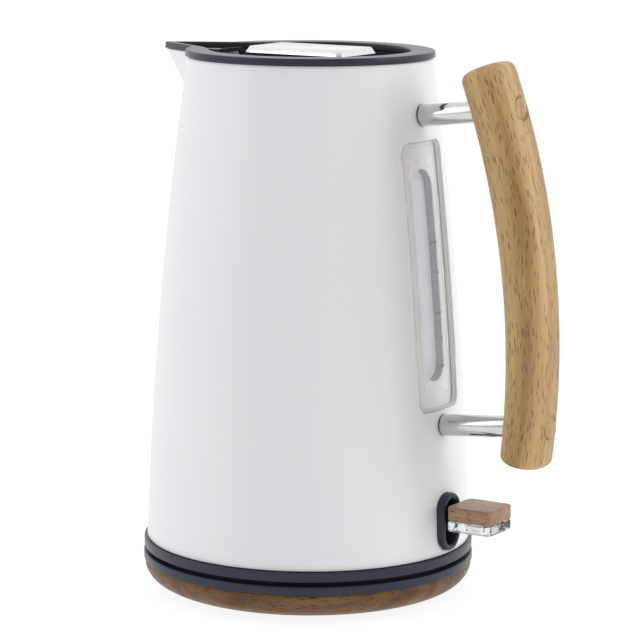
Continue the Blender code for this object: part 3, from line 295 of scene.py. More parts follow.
def finish(name, effect, values, plain, lift=0.0, vector=None):
    """A material: an effect group gives colour, roughness and height, and everything that is the same all
    over is set on the shader's own sockets. Lift is the bump's height in metres."""
    made = bpy.data.materials.new(name)
    made.use_nodes = True
    tree = made.node_tree
    shader = tree.nodes["Principled BSDF"]
    look = tree.nodes.new("ShaderNodeGroup")
    look.node_tree = effect
    for socket, value in values.items():
        look.inputs[socket].default_value = (*value, 1.0) if look.inputs[socket].type == "RGBA" else value
    tree.links.new(vector(tree) if vector else node(tree, "TexCoord").outputs["Object"], look.inputs["Grain"])
    tree.links.new(look.outputs["Color"], shader.inputs["Base Color"])
    tree.links.new(look.outputs["Roughness"], shader.inputs["Roughness"])
    if lift:
        bump = node(tree, "Bump", {"Height": look.outputs["Height"], "Distance": lift})
        tree.links.new(bump.outputs["Normal"], shader.inputs["Normal"])
    for socket, value in plain.items():
        shader.inputs[socket].default_value = value
    return made


def along_plank(turn):
    """Object coordinates turned about Z, so that the fibres run along the first of them."""
    def vector(tree):
        coordinates = node(tree, "TexCoord").outputs["Object"]
        return node(tree, "Mapping", {"Vector": coordinates, "Rotation": (0, 0, -turn)}).outputs["Vector"]
    return vector


# The ring's beech: tones far darker than the grip's, as painted shade on a ring that faces down.
beech_with_painted_shade = finish("beech_with_painted_shade", beech, {"Pale": (0.195, 0.098, 0.036), "Deep": (0.09, 0.038, 0.012),
                                                "Fleck": (0.028, 0.009, 0.004), "Fleck strength": 0.9},
                       {"Specular IOR Level": 0.25}, 0.00012, along_plank(VIEW_TURN))
wood_low, wood_high = reach("base_wood_ring")
WOOD_ROUNDING, WOOD_CURVE, WOOD_EDGE, WOOD_BORE = 20.0, 0.87, 0.5, 54.2
FINE_STEPS, SMALL_STEPS = 256, 48
bend = np.linspace(0, math.pi / 2, 24)
wood_side = np.stack([wood_high[0] - WOOD_ROUNDING + WOOD_ROUNDING * np.cos(bend) ** WOOD_CURVE,
                      wood_high[2] - (wood_high[2] - wood_low[2]) * np.sin(bend) ** WOOD_CURVE], -1)
wood_profile = np.concatenate([[(wood_high[0] - WOOD_EDGE, wood_high[2])], wood_side[1:],
                               [(WOOD_BORE, wood_low[2])],
                               [(WOOD_BORE, wood_high[2])]])
wood_ring = form("wood_ring", turned(wood_profile, FINE_STEPS), "loop")
gland_low, gland_high = reach("cord_gland")
gland_centre = (gland_low + gland_high) / 2
GLAND_HOLE, GLAND_START = 3.9, 40


def gland_cutter(name, end):
    """A round bar along +Y at the gland's height, from inside the base out to a distance."""
    bar = [(GLAND_HOLE, GLAND_START), (GLAND_HOLE, end)]
    return form(name, turned(bar, SMALL_STEPS, (0, 0, gland_centre[2]), (0, 1, 0)))


carve(wood_ring, gland_cutter("gland_hole", 90))
fit(wood_ring, beech_with_painted_shade, "power_base", "dark_wood", "base_wood_ring")

# Power base cover: a slate moulding with a plain rim, a raised round table that centres the jug, and a funnel
# down to the socket. The jug stands 2 mm above the rim.
grain, given, out = group("moulded_skin", {"Grain": "Vector", "Tone": "Color", "Shade": "Color",
                                           "Stretch": "Vector",
                                           "Grit": "Float", "Smooth": "Float", "Rough": "Float"},
                          {"Color": "Color", "Roughness": "Float", "Height": "Float"})
pulled = scaled(grain, given["Grain"], given["Stretch"])
cloud = node(grain, "TexNoise", {"Vector": given["Grain"], "Scale": 14.0, "Detail": 3.0}).outputs["Fac"]
speck = node(grain, "TexNoise", {"Vector": pulled, "Scale": given["Grit"], "Detail": 2.0}).outputs["Fac"]
blend = node(grain, "Math", {0: cloud, 1: speck}, operation="MULTIPLY").outputs["Value"]
grain.links.new(mixed(grain, ranged(grain, blend, 0.12, 0.42), given["Tone"], given["Shade"]), out["Color"])
grain.links.new(ranged(grain, speck, 0.3, 0.7, given["Smooth"], given["Rough"]), out["Roughness"])
grain.links.new(speck, out["Height"])


def skin(name, tone, shade, smooth, rough, grit, lift, stretch=(1, 1, 1), **plain):
    """A material of the moulded skin group: two near tones, a range of roughness, and a fine grit."""
    return finish(name, grain, {"Tone": tone, "Shade": shade, "Smooth": smooth, "Rough": rough, "Grit": grit,
                                "Stretch": stretch},
                                {key.replace("_", " "): value for key, value in plain.items()}, lift)


slate = skin("slate_moulding", (0.028, 0.036, 0.054), (0.021, 0.027, 0.042), 0.26, 0.36, 2600.0, 0.00001,
             Specular_IOR_Level=0.28)
rim_low, rim_high = reach("base_top_cover")
RIM_STEP, RIM_DEPTH, TABLE_RADIUS, COVER_SKIN, SKIRT_RADIUS = 18.0, 3.8, 73.8, 2.2, 51.7
FUNNEL_RADIUS, FUNNEL_DROP = 19.3, 3.3
cover_profile = eased([(rim_high[0], RIM_STEP - RIM_DEPTH), (rim_high[0], RIM_STEP), (TABLE_RADIUS, RIM_STEP),
                       (TABLE_RADIUS - 1, rim_high[2]), (FUNNEL_RADIUS + 7.2, rim_high[2]),
                       (FUNNEL_RADIUS + 3.6, rim_high[2] - FUNNEL_DROP),
                       (FUNNEL_RADIUS, rim_high[2] - FUNNEL_DROP),
                       (FUNNEL_RADIUS, rim_high[2] - FUNNEL_DROP - COVER_SKIN),
                       (FUNNEL_RADIUS + 4.5, rim_high[2] - FUNNEL_DROP - COVER_SKIN),
                       (FUNNEL_RADIUS + 8, rim_high[2] - COVER_SKIN),
                       (SKIRT_RADIUS, rim_high[2] - COVER_SKIN),
                       (SKIRT_RADIUS, rim_low[2]), (SKIRT_RADIUS + COVER_SKIN, rim_low[2]),
                       (SKIRT_RADIUS + COVER_SKIN, RIM_STEP - RIM_DEPTH)],
                      [0.25, 0.7, 0.3, 0.6, 1.2, 1.0, 0.3, 0.3, 1.0, 1.0, 0.5, 0.4, 0.4, 0.4])
base_cover = form("base_cover", turned(cover_profile, FINE_STEPS), "loop")
carve(base_cover, gland_cutter("gland_way", 60))
fit(base_cover, slate, "power_base", "slate_plastic", "base_top_cover")

# Jug's foot ring: a slate moulding pressed into the shell, with a small lip that the shell's edge sits on.
ring_low, ring_high = reach("jug_bottom_ring")
RING_SHELF, RING_LIP, RING_BORE = 24.5, 73.95, 71.25
ring_profile = eased([(ring_high[0], ring_low[2]), (ring_high[0], RING_SHELF), (RING_LIP, RING_SHELF),
                      (RING_LIP, ring_high[2]), (RING_BORE, ring_high[2]), (RING_BORE, ring_low[2])],
                     [0.7, 0.5, 0.2, 0.3, 0.3, 0.3])
foot_ring = form("foot_ring", turned(ring_profile, FINE_STEPS), "loop")
fit(foot_ring, slate, "jug", "slate_plastic", "jug_bottom_ring")

# Body shell: one sheet of steel, drawn to a taper with a slight swell, its mouth pressed out to a V spout
# whose crease fades out down the keel. Satin white outside, bare steel inside.
shell_low, shell_high = reach("body_shell")
FOOT_RADIUS, MOUTH_RADIUS, SWELL, SHEET = 75.95, 56.75, 3.07, 1.2
SPOUT_REACH, SPOUT_ANGLE, KEEL_SLOPE, TIP_RADIUS = 82.0, math.radians(29.5), 0.62, 3.0
V_COLUMNS, ROUND_COLUMNS, GATHER = 22, 104, 1.15
LEAST_CREASE = math.radians(2.0)
COLLAR_PROUD = 1.0


def wall_radius(z):
    """A straight taper from foot to mouth, and a parabola that swells it by SWELL half way up."""
    share = (z - shell_low[2]) / (shell_high[2] - shell_low[2])
    return FOOT_RADIUS + (MOUTH_RADIUS - FOOT_RADIUS) * share + 4 * SWELL * share * (1 - share)


def keel_reach(z):
    """How far the spout's keel stands out at a height: it comes in steadily below the mouth."""
    return SPOUT_REACH - COLLAR_PROUD - KEEL_SLOPE * (shell_high[2] - z)


def spout_rows(z, circle, keel, fillet, trim=0.0):
    """Rows round a circle with a V at -X. At an angle b from the keel, with K its reach and a the V's half
    angle, the V's radius is K sin(a) / sin(a + b); the row takes the larger of the two, eased over a fillet.
    Columns gather on the V, and one of them follows its crease. Trim is taken off every radius."""
    z, circle, keel, trim = (np.broadcast_to(np.asarray(v, float), np.shape(z)).reshape(-1, 1)
                             for v in (z, circle, keel, trim))
    share = np.concatenate([np.linspace(0, 1, V_COLUMNS, endpoint=False), np.linspace(1, 2, ROUND_COLUMNS)])
    crease = np.arcsin(np.clip(keel * math.sin(SPOUT_ANGLE) / circle, math.sin(SPOUT_ANGLE),
                               1.0)) - SPOUT_ANGLE
    crease = np.maximum(crease, LEAST_CREASE)
    half = np.where(share <= 1, share * crease, crease + (math.pi - crease) * (share - 1) ** GATHER)
    angle = np.concatenate([half, -half[:, -2:0:-1]], axis=1)
    tip = TIP_RADIUS / SPOUT_REACH / 2
    off = np.minimum(np.sqrt(angle**2 + tip**2), math.pi / 2 - SPOUT_ANGLE)
    wall = keel * math.sin(SPOUT_ANGLE + tip) / np.sin(SPOUT_ANGLE + off)
    near = np.clip(1 - np.abs(circle - wall) / fillet, 0, None)
    radius = np.maximum(circle, wall) + near**2 * fillet / 4 - trim
    return np.stack([-radius * np.cos(angle), -radius * np.sin(angle), z + 0 * radius], -1)


CREASE, SHELL_EDGE, SPOUT_FOOT = 1.4, 0.3, 205
shell_z = np.concatenate([np.linspace(shell_low[2] + 0.5, SPOUT_FOOT, 66),
                          np.linspace(SPOUT_FOOT + 2, shell_high[2] - SHELL_EDGE, 40)])
edge = np.array([(0.45, 0.0), (0.2, 0.12)])
outer_z = np.concatenate([shell_low[2] + edge[:, 1], shell_z, [shell_high[2]]])
outer_trim = np.concatenate([edge[:, 0], 0 * shell_z, [SHELL_EDGE]])
inner_z = np.concatenate([[shell_high[2]], shell_z[::-2], [shell_low[2]]])
outer_rows = spout_rows(outer_z, wall_radius(outer_z), keel_reach(outer_z), CREASE, outer_trim)
inner_rows = spout_rows(inner_z, wall_radius(inner_z) - SHEET,
                        keel_reach(inner_z) - SHEET / math.sin(SPOUT_ANGLE), CREASE)
shell = form("painted_shell", np.concatenate([outer_rows, inner_rows]), "loop", 50)

WINDOW_LOW, WINDOW_HIGH = (value[2] for value in reach("window_lens"))
WINDOW_WIDTH, WINDOW_CORNER = 33.8, 5.0
WINDOW_MIDDLE = (WINDOW_LOW + WINDOW_HIGH) / 2
WINDOW_HEIGHT = WINDOW_HIGH - WINDOW_LOW


def rounded(width, height, corner, corner_steps=8, side_steps=2, end_steps=2):
    """Points round a rectangle with round corners, about its own centre, going anticlockwise from its right
    side. The corners are quarter circles, and the straight sides are divided evenly."""
    corner = min(corner, width / 2, height / 2)
    turn = np.linspace(0, math.pi / 2, corner_steps)
    points = []
    for quarter, steps in enumerate((end_steps, side_steps, end_steps, side_steps)):
        sx, sy = (1, -1, -1, 1)[quarter], (1, 1, -1, -1)[quarter]
        centre = np.array([sx * (width / 2 - corner), sy * (height / 2 - corner)])
        arc = turn + quarter * math.pi / 2
        points.append(centre + corner * np.stack([np.cos(arc), np.sin(arc)], -1))
        following = (quarter + 1) % 4
        nx, ny = (1, -1, -1, 1)[following], (1, 1, -1, -1)[following]
        target = np.array([nx * (width / 2 - corner), ny * (height / 2 - corner)])
        first = arc[-1]
        target = target + corner * np.array([math.cos(first), math.sin(first)])
        share = np.linspace(0, 1, steps + 1)[1:-1, None]
        points.append(points[-1][-1] * (1 - share) + target * share)
    return np.concatenate(points)


def pushed(outline, stations, frame_of):
    """Rows of an outline at each station, laid out by a function from (across, up, out) to X, Y, Z."""
    return np.stack([frame_of(outline[:, 0], outline[:, 1],
                              np.full(len(outline), station)) for station in stations])


def on_wall(z_middle):
    """Lays (across, up, out) on the handle's side: across runs along Y, up along Z, and out along X."""
    return lambda across, up, out: np.stack([out, across, up + z_middle], -1)


BEZEL_LOW, BEZEL_HIGH = reach("switch_bezel")
BEZEL_MIDDLE = (BEZEL_LOW[2] + BEZEL_HIGH[2]) / 2
HOLE_GAP, SLOT_WIDTH, SLOT_HEIGHT, CUTTER_ENDS = 0.2, 14.6, 25.6, (30, 95)
window_hole = rounded(WINDOW_WIDTH + 2 * HOLE_GAP, WINDOW_HEIGHT + 2 * HOLE_GAP, WINDOW_CORNER + HOLE_GAP, 12)
bezel_hole = rounded(SLOT_WIDTH, SLOT_HEIGHT, SLOT_WIDTH / 2 - 0.01, 24)
carve(shell, form("window_hole", pushed(window_hole, CUTTER_ENDS, on_wall(WINDOW_MIDDLE))),
      form("bezel_hole", pushed(bezel_hole, CUTTER_ENDS, on_wall(BEZEL_MIDDLE))))
satin_white = skin("satin_white_paint", (0.805, 0.813, 0.833), (0.785, 0.795, 0.818), 0.36, 0.46, 900.0,
                   0.000012,
                   Coat_Weight=0.12, Coat_Roughness=0.25)
fit(shell, satin_white, "jug", "white_paint", "body_shell")

# Spout lining: the neck moulding's dark tongue, which covers the steel inside the V from the filter to the
# lip.
LINING_LOW, LINING, LINING_GAP = 226.0, 1.0, 0.3
lining_z = np.linspace(LINING_LOW, shell_high[2] - 0.1, 14)


def lining_rows(back):
    """The inner wall of the shell over the V's own columns, moved in by a distance."""
    rows = spout_rows(lining_z, wall_radius(lining_z) - SHEET - back,
                      keel_reach(lining_z) - (SHEET + back) / math.sin(SPOUT_ANGLE), CREASE)
    return np.concatenate([rows[:, -V_COLUMNS - 2:], rows[:, :V_COLUMNS + 3]], axis=1)


lining = form("spout_lining", np.concatenate([lining_rows(LINING_GAP),
                                              lining_rows(LINING_GAP + LINING)[:, ::-1]],
                                             axis=1))
black = skin("black_moulding", (0.010, 0.012, 0.018), (0.007, 0.008, 0.013), 0.5, 0.65, 2200.0, 0.00004,
             Specular_IOR_Level=0.3)
fit(lining, black, "jug", "black_plastic")

# Collar: the slate moulding that trims the mouth. It follows the spout as a narrow rim and widens into a flat
# ledge round the lid, and a fine step runs along its lower edge.
collar_low = reach("top_collar")[0]
COLLAR_RADIUS, OPENING, RIM_WIDTH, SHOULDER = MOUTH_RADIUS + COLLAR_PROUD, 46.3, 3.3, 7.0
outside = [(0.35, 0.0), (0.05, 0.12), (0.0, 0.3), (0.0, 0.75), (0.16, 0.86), (0.16, 2.3), (0.22, 2.6),
           (0.4, 2.82),
           (0.62, 2.94), (0.95, 3.0)]
inside_edge = [(-1.0, 3.0), (-0.6, 2.92), (-0.28, 2.72), (-0.06, 2.4), (0.0, 2.1), (0.0, 0.2), (-0.2, 0.0)]
out_trim, out_z = np.array(outside).T
in_trim, in_z = np.array(inside_edge).T
collar = form("collar", np.concatenate([
    spout_rows(collar_low[2] + out_z, COLLAR_RADIUS, SPOUT_REACH, CREASE, out_trim),
    spout_rows(collar_low[2] + in_z, OPENING, SPOUT_REACH - RIM_WIDTH / math.sin(SPOUT_ANGLE), SHOULDER,
               in_trim)]),
    "loop", 30)
fit(collar, slate, "jug", "slate_plastic", "top_collar")

# Neck ring: the black moulding under the collar that the lid drops into and seals against, open to the spout.
neck_low, neck_high = reach("neck_ring")
NECK_WALL, NECK_LEDGE = 2.4, 3.0
neck_profile = eased([(OPENING - NECK_LEDGE, neck_low[2]), (OPENING + NECK_WALL, neck_low[2]),
                      (OPENING + NECK_WALL, neck_high[2] - 2), (neck_high[1], neck_high[2] - 2),
                      (neck_high[1], neck_high[2]), (OPENING, neck_high[2]),
                      (OPENING, neck_low[2] + NECK_WALL),
                      (OPENING - NECK_LEDGE, neck_low[2] + NECK_WALL)], 0.4)
neck = form("neck_moulding", turned(neck_profile), "loop")
POUR = math.tan(math.radians(15.0))
WEDGE_NEAR, WEDGE_FAR, POUR_FLOOR, POUR_TOP = 20, 90, 234.2, 255
wedge = np.array([(-WEDGE_NEAR, WEDGE_NEAR * POUR), (-WEDGE_NEAR, -WEDGE_NEAR * POUR),
                  (-WEDGE_FAR, -WEDGE_FAR * POUR), (-WEDGE_FAR, WEDGE_FAR * POUR)])
carve(neck, form("pour_way", np.stack([np.column_stack([wedge, np.full(len(wedge), height)])
                                       for height in (POUR_FLOOR, POUR_TOP)])))
fit(neck, black, "jug", "black_plastic", "neck_ring")

# Lid cover: a dished dark moulding with a raised edge, which drops into the neck and leaves a moat for
# fingertips.
lid_low, lid_high = reach("lid_cover")
LID_EDGE = 45.8
DISH = lid_low[2] + 2.4
lid_profile = [(0, DISH), *eased([(LID_EDGE - 1.8, DISH), (LID_EDGE - 1.8, lid_high[2]),
                                  (LID_EDGE, lid_high[2]),
                                  (LID_EDGE, lid_low[2])], [2.2, 0.5, 0.5, 0.5]), (0, lid_low[2])]
lid = form("lid_dish", turned(lid_profile), "weld")
dark_slate = skin("dark_slate_moulding", (0.024, 0.028, 0.040), (0.018, 0.021, 0.030), 0.34, 0.46, 2400.0,
                  0.00004)
fit(lid, dark_slate, "lid", "slate_plastic", "lid_cover")

# Lid's grip: a thick polished plate on a slate stem, pinched between finger and thumb to lift the lid out.
# Its lower edges are eased, and its upper face leans back from an upright rim.
plate_low, plate_high = reach("lid_grip_plate")
plate_size = plate_high - plate_low


def rim_stack(size, corner, levels, shrink, steps=10):
    """Rows of a rounded slab: outlines at rising levels, each smaller than the slab by twice its shrink."""
    return np.stack([np.column_stack([rounded(size[0] - 2 * less, size[1] - 2 * less, max(corner - less, 0.2),
                                              steps),
                                      np.full(4 * steps + 4, level)]) for level, less in zip(levels, shrink)])


def slab(low, high, corner, edge, steps=10):
    """Rows of a slab with round plan corners, its top and bottom edges eased by quarter circles."""
    size = high - low
    arc = np.linspace(0, math.pi / 2, 6)
    rise = edge * (1 - np.cos(arc))
    less = edge * (1 - np.sin(arc))
    levels = np.concatenate([low[2] + rise, high[2] - rise[::-1]])
    rows = rim_stack(size, corner, levels, np.concatenate([less, less[::-1]]), steps)
    return rows + ((low[0] + high[0]) / 2, (low[1] + high[1]) / 2, 0)


thick = plate_size[2]
bevel = np.array([(0.5, 0.0), (0.1, 0.15), (0.0, 0.5), (0.1, 0.8), (1.7, thick - 0.35), (2.1, thick - 0.1),
                  (2.7, thick)])
plate = form("grip_plate", rim_stack(plate_size, 4.0, plate_low[2] + bevel[:, 1], bevel[:, 0]), sharp=30)
chrome = skin("polished_chrome", (0.66, 0.65, 0.645), (0.60, 0.59, 0.585), 0.07, 0.14, 260.0, 0.000004,
              Metallic=1.0)
brushed_chrome = skin("brushed_chrome", (0.83, 0.83, 0.85), (0.76, 0.76, 0.79), 0.10, 0.24, 700.0, 0.000006,
                      (0.03, 1, 1), Metallic=1.0)
fit(plate, brushed_chrome, "lid", "chrome", "lid_grip_plate")
stem = form("grip_stem", slab(*reach("lid_grip_stem"), 4.0, 0.3), sharp=30)
fit(stem, slate, "lid", "slate_plastic", "lid_grip_stem")

# Lid underside: a plain steel disc inside a soft grey seal, both round and seen only with the lid lifted out.
disc_low, disc_high = reach("lid_steel_disc")
ROUND_STEPS = 160
disc = form("lid_disc", turned([(0, disc_low[2]),
                                *eased([(disc_high[0] - 3, disc_low[2]), (disc_high[0], disc_low[2] + 0.1),
                               (disc_high[0], disc_high[2])], [0.05, 0.3, 0.1]), (0, disc_high[2])],
                               ROUND_STEPS), "weld")
steel = skin("brushed_steel", (0.62, 0.62, 0.64), (0.54, 0.54, 0.56), 0.24, 0.42, 900.0, 0.000008,
             (0.04, 1, 1), Metallic=1.0)
fit(disc, steel, "lid", "steel", "lid_steel_disc")
seal_low, seal_high = reach("lid_seal")
SEAL_BORE = 41.1
seal_profile = eased([(SEAL_BORE, seal_low[2]), (seal_high[0] - 1.2, seal_low[2]),
                      (seal_high[0], seal_low[2] + 1.6),
                      (seal_high[0] - 0.9, seal_low[2] + 2.6), (seal_high[0], seal_high[2] - 1.8),
                      (seal_high[0], seal_high[2]), (SEAL_BORE, seal_high[2])],
                      [0.4, 0.5, 0.7, 0.5, 0.7, 0.3, 0.3])
seal = form("lid_seal_ring", turned(seal_profile, ROUND_STEPS), "loop")
silicone = skin("grey_silicone", (0.34, 0.35, 0.37), (0.29, 0.30, 0.32), 0.45, 0.6, 1200.0, 0.00003)
fit(seal, silicone, "lid", "silicone", "lid_seal")

# Grip: one bent beech bar of rounded section, oiled, with round ends. Its fibres follow the bend.
grip_high = reach("handle_grip")[1]
GRIP_DEPTH, GRIP_WIDTH, GRIP_CORNER, GRIP_SLIMMING = 22.3, 26.0, 9.9, 0.045
ARC_RADIUS, ARC_HEIGHT, ARC_STEPS = 353.4, 116.4, 92
ARC_X = grip_high[0] - GRIP_DEPTH / 2 - ARC_RADIUS
TOP_ANGLE, BOTTOM_ANGLE, END_ROUND = math.radians(22.1), math.radians(-7.3), 4.4


def grip_rows():
    """Sections along the bar's arc and the straightened place of each point, which the wood's grain follows.
    Each section is a rounded rectangle whose corners take most of its width, slimmer towards the lower end.
    Towards each end the sections shrink as a quarter circle."""
    arc = np.linspace(0, math.pi / 2, 10)
    less = np.concatenate([END_ROUND * (1 - np.sin(arc)), np.zeros(ARC_STEPS - 2),
                           END_ROUND * (1 - np.sin(arc[::-1]))])
    back = END_ROUND * (1 - np.cos(arc)) / ARC_RADIUS
    angle = np.concatenate([BOTTOM_ANGLE + back,
                            np.linspace(BOTTOM_ANGLE + back[-1], TOP_ANGLE - back[-1], ARC_STEPS)[1:-1],
                            TOP_ANGLE - back[::-1]])
    slim = 1 - GRIP_SLIMMING * np.clip((0.2 - angle) / 0.33, 0, 1)
    rows, straight = [], []
    for turn, shrink, share in zip(angle, less, slim):
        section = rounded(GRIP_DEPTH * share - 2 * shrink, GRIP_WIDTH * share - 2 * shrink,
                          GRIP_CORNER - shrink * 0.8, 12)
        radius = ARC_RADIUS + section[:, 0]
        rows.append(np.stack([ARC_X + radius * math.cos(turn), section[:, 1],
                              ARC_HEIGHT + radius * math.sin(turn)], -1))
        straight.append(np.column_stack([np.full(len(section), ARC_RADIUS * turn), section]))
    return np.array(rows), np.array(straight)


def along_bar(tree):
    """The straightened place that the grip's points carry."""
    return node(tree, "Attribute", attribute_name="grain").outputs["Vector"]


bar_rows, bar_grain = grip_rows()
grip = form("beech_grip", bar_rows, grain=bar_grain, sharp=60)
OILED = {"Pale": (0.55, 0.355, 0.135), "Deep": (0.33, 0.19, 0.05), "Fleck": (0.125, 0.040, 0.024),
         "Fleck strength": 0.9}
oiled_grip = finish("oiled_beech_along_grip", beech, OILED, {"Coat Weight": 0.3, "Coat Roughness": 0.28},
                    0.00010, along_bar)
grip.data.materials.append(oiled_grip)


def post_line(name):
    """Where a handle post leaves the wall, and its direction, which rises a few degrees towards the grip."""
    tilt = {"upper": math.radians(6.3), "lower": math.radians(5.3)}[name]
    height = {"upper": 225.9, "lower": 84.8}[name]
    return np.array([wall_radius(height), 0, height]), np.array([math.cos(tilt), 0, math.sin(tilt)])


def to_arc(root, along, radius):
    """Distance along a post to a circle about the bar's centre of bend: -h + sqrt(h^2 - d^2 + r^2)."""
    away = root - np.array([ARC_X, 0, ARC_HEIGHT])
    half = away @ along
    return -half + math.sqrt(half**2 - away @ away + radius**2)


PLUG, PLUG_GAP, PLUG_DEPTH, PLUG_SUNK = 5.2, 0.09, 4.0, 0.45
POST_RADIUS, POST_BORE, POST_GAP, POST_SUNK, PAST_GRIP = 5.0, 2.5, 0.15, 2.7, 9
ROOT_GAP, GASKET_TOP, POST_START = 0.3, 0.6, 0.65
POST_STEPS = 64
plug_cuts = []
for name in ("upper", "lower"):
    root, along = post_line(name)
    back = to_arc(root, along, ARC_RADIUS + GRIP_DEPTH / 2)
    plug_cuts.append(form("plug_bore_" + name, turned([(PLUG + PLUG_GAP, back - PLUG_DEPTH - 0.4),
                                                       (PLUG + PLUG_GAP, back + PAST_GRIP)], POST_STEPS, root,
                                                       along)))
    near = to_arc(root, along, ARC_RADIUS - GRIP_DEPTH / 2)
    plug_cuts.append(form("post_bore_" + name, turned([(POST_RADIUS + POST_GAP, near - PAST_GRIP),
                                                       (POST_RADIUS + POST_GAP, near + POST_SUNK + 0.3)],
                                                       POST_STEPS, root, along)))
carve(grip, *plug_cuts)
fit(grip, None, "jug", "beech", "handle_grip")

# Handle posts, with their gaskets and plugs: polished tubes that stand off the wall on thin black gaskets,
# each drawn up by a bolt whose head hides under a beech plug in the grip.
rubber = skin("black_rubber", (0.022, 0.022, 0.024), (0.014, 0.014, 0.016), 0.6, 0.8, 1500.0, 0.00005)


def along_posts(tree):
    """Fibres up the plugs, as in the grip round them."""
    coordinates = node(tree, "TexCoord").outputs["Object"]
    return node(tree, "Mapping", {"Vector": coordinates, "Rotation": (0, math.pi / 2, 0)}).outputs["Vector"]


plug_wood = finish("oiled_beech_plug", beech, OILED, {"Coat Weight": 0.3, "Coat Roughness": 0.28}, 0.00010,
                   along_posts)
for name in ("upper", "lower"):
    root, along = post_line(name)
    near = to_arc(root, along, ARC_RADIUS - GRIP_DEPTH / 2)
    back = to_arc(root, along, ARC_RADIUS + GRIP_DEPTH / 2)
    tube = eased([(POST_BORE, POST_START), (POST_RADIUS, POST_START), (POST_RADIUS, near + POST_SUNK),
                  (POST_BORE, near + POST_SUNK)], 0.2)
    post = form("post_" + name, turned(tube, POST_STEPS, root, along), "loop")
    fit(post, chrome, "jug", "chrome", "handle_post_" + name)
    washer = eased([(POST_BORE, ROOT_GAP), (POST_RADIUS, ROOT_GAP), (POST_RADIUS, GASKET_TOP),
                    (POST_BORE, GASKET_TOP)], 0.1)
    gasket = form("gasket_" + name, turned(washer, POST_STEPS, root, along), "loop")
    fit(gasket, rubber, "jug", "rubber", "post_gasket_" + name)
    dome = np.linspace(0, 1, 5)[1:]
    button = [(0, back - PLUG_DEPTH), (PLUG, back - PLUG_DEPTH), (PLUG, back - PLUG_SUNK - 0.1),
              (PLUG - 0.08, back - PLUG_SUNK), *[(PLUG * (1 - d), back - PLUG_SUNK + 0.4 * d) for d in dome]]
    plug = form("plug_" + name, turned(button, POST_STEPS, root, along), "weld")
    fit(plug, plug_wood, "jug", "beech", "handle_plug_" + name)

# Water window: a clear moulding that lies flush in the wall, with stepped edges, over a milky backing that
# holds the round-ended sight channel. Fine bars across the channel mark the levels.
WALL_STEPS = 40


def bowed(across, up, out):
    """Lays (across, up, out) on the tapering wall: X is sqrt((R + out)^2 - across^2), with R the wall's
    radius."""
    z = up + WINDOW_MIDDLE
    return np.stack([np.sqrt((wall_radius(z) + out) ** 2 - across**2), across, z], -1)


def stack_of(sections, corner_steps):
    """Rows of the outlines (width, height, corner, out), laid on the wall in turn."""
    rows = []
    for width, height, corner, out in sections:
        outline = rounded(width, height, corner, corner_steps, WALL_STEPS, 4)
        rows.append(bowed(outline[:, 0], outline[:, 1], np.full(len(outline), out)))
    return np.array(rows)


def centres(piece):
    """The middle of each face of a piece, in millimetres from the jug's axis."""
    where = np.zeros(len(piece.data.polygons) * 3)
    piece.data.polygons.foreach_get("center", where)
    return where.reshape(-1, 3) * MM_IN_METRE - (AXIS * MM_IN_METRE, 0, 0)


def inset_of(place, width, height, corner):
    """How far in from a round-cornered outline: the corner's radius less the distance from the straightened
    core."""
    away = np.abs(place[:, 1:] - (0, WINDOW_MIDDLE)) - (width / 2 - corner, height / 2 - corner)
    return corner - np.linalg.norm(np.maximum(away, 0), axis=1) - np.minimum(away.max(axis=1), 0)


half = WINDOW_WIDTH / 2
lens_front = [(0.0, -0.5), (0.12, -0.2), (0.5, -0.05), (1.6, -0.05), (2.0, -0.4), (3.0, -0.4), (3.3, -0.1),
              (3.7, -0.1),
              (4.0, -0.5), (5.2, -0.5), (5.6, -0.8), (half, -0.85)]
lens_sections = [(WINDOW_WIDTH - 2 * inset, WINDOW_HEIGHT - 2 * inset, max(WINDOW_CORNER - inset, 0), out)
                 for inset, out in [(half, -2.5), (0.0, -2.5), *lens_front]]
lens = form("window_lens_clear", stack_of(lens_sections, 10), "weld", 20)
clear = bpy.data.materials.new("clear_moulding")
clear.use_nodes = True
clear_shader = clear.node_tree.nodes["Principled BSDF"]
ripple = node(clear.node_tree, "TexNoise", {"Vector": node(clear.node_tree, "TexCoord").outputs["Object"],
                                            "Scale": 160.0, "Detail": 2.0}).outputs["Fac"]
tint = mixed(clear.node_tree, ranged(clear.node_tree, ripple, 0.35, 0.65), (0.86, 0.87, 0.88),
             (0.80, 0.81, 0.83))
clear.node_tree.links.new(tint, clear_shader.inputs["Base Color"])
clear.node_tree.links.new(ranged(clear.node_tree, ripple, 0.3, 0.7, 0.04, 0.12),
                          clear_shader.inputs["Roughness"])
clear_shader.inputs["Alpha"].default_value = 0.14
clear_shader.inputs["IOR"].default_value = 1.5
clear_edge = skin("clear_edge_painted_lines", (0.60, 0.63, 0.62), (0.52, 0.55, 0.54), 0.08, 0.16, 500.0, 0.000004,
                  Alpha=0.34)
milky = skin("milky_moulding", (0.80, 0.805, 0.815), (0.75, 0.757, 0.77), 0.3, 0.42, 500.0, 0.00001)
for tone in (clear, clear_edge, milky):
    lens.data.materials.append(tone)
place = centres(lens)
inset = inset_of(place, WINDOW_WIDTH, WINDOW_HEIGHT, WINDOW_CORNER)
EDGE_BAND, FRONT_DEPTH, RIM_BAND, LIT_SIDE_TONE = 0.45, -1.2, 0.08, 2
# Bands round the outer edge and on the step slopes take the greyer, less clear tone. These are painted lines
# that stand in for the light and shade the steps draw in the clear moulding.
painted_step_lines = (inset < EDGE_BAND) | ((inset > 1.62) & (inset < 1.95)) | ((inset > 4.02) & (inset < 4.3))
on_front = np.hypot(place[:, 0], place[:, 1]) - wall_radius(place[:, 2]) > FRONT_DEPTH
# The lens's side faces take the opaque milky tone. This is painted light, which covers the shade that the
# hole's edge and the gap would show through the clear front.
rim = (inset < RIM_BAND) & ~on_front
lens.data.polygons.foreach_set("material_index", np.where(rim, LIT_SIDE_TONE, painted_step_lines & on_front).astype(np.int32))
fit(lens, None, "jug", "clear_plastic", "window_lens")

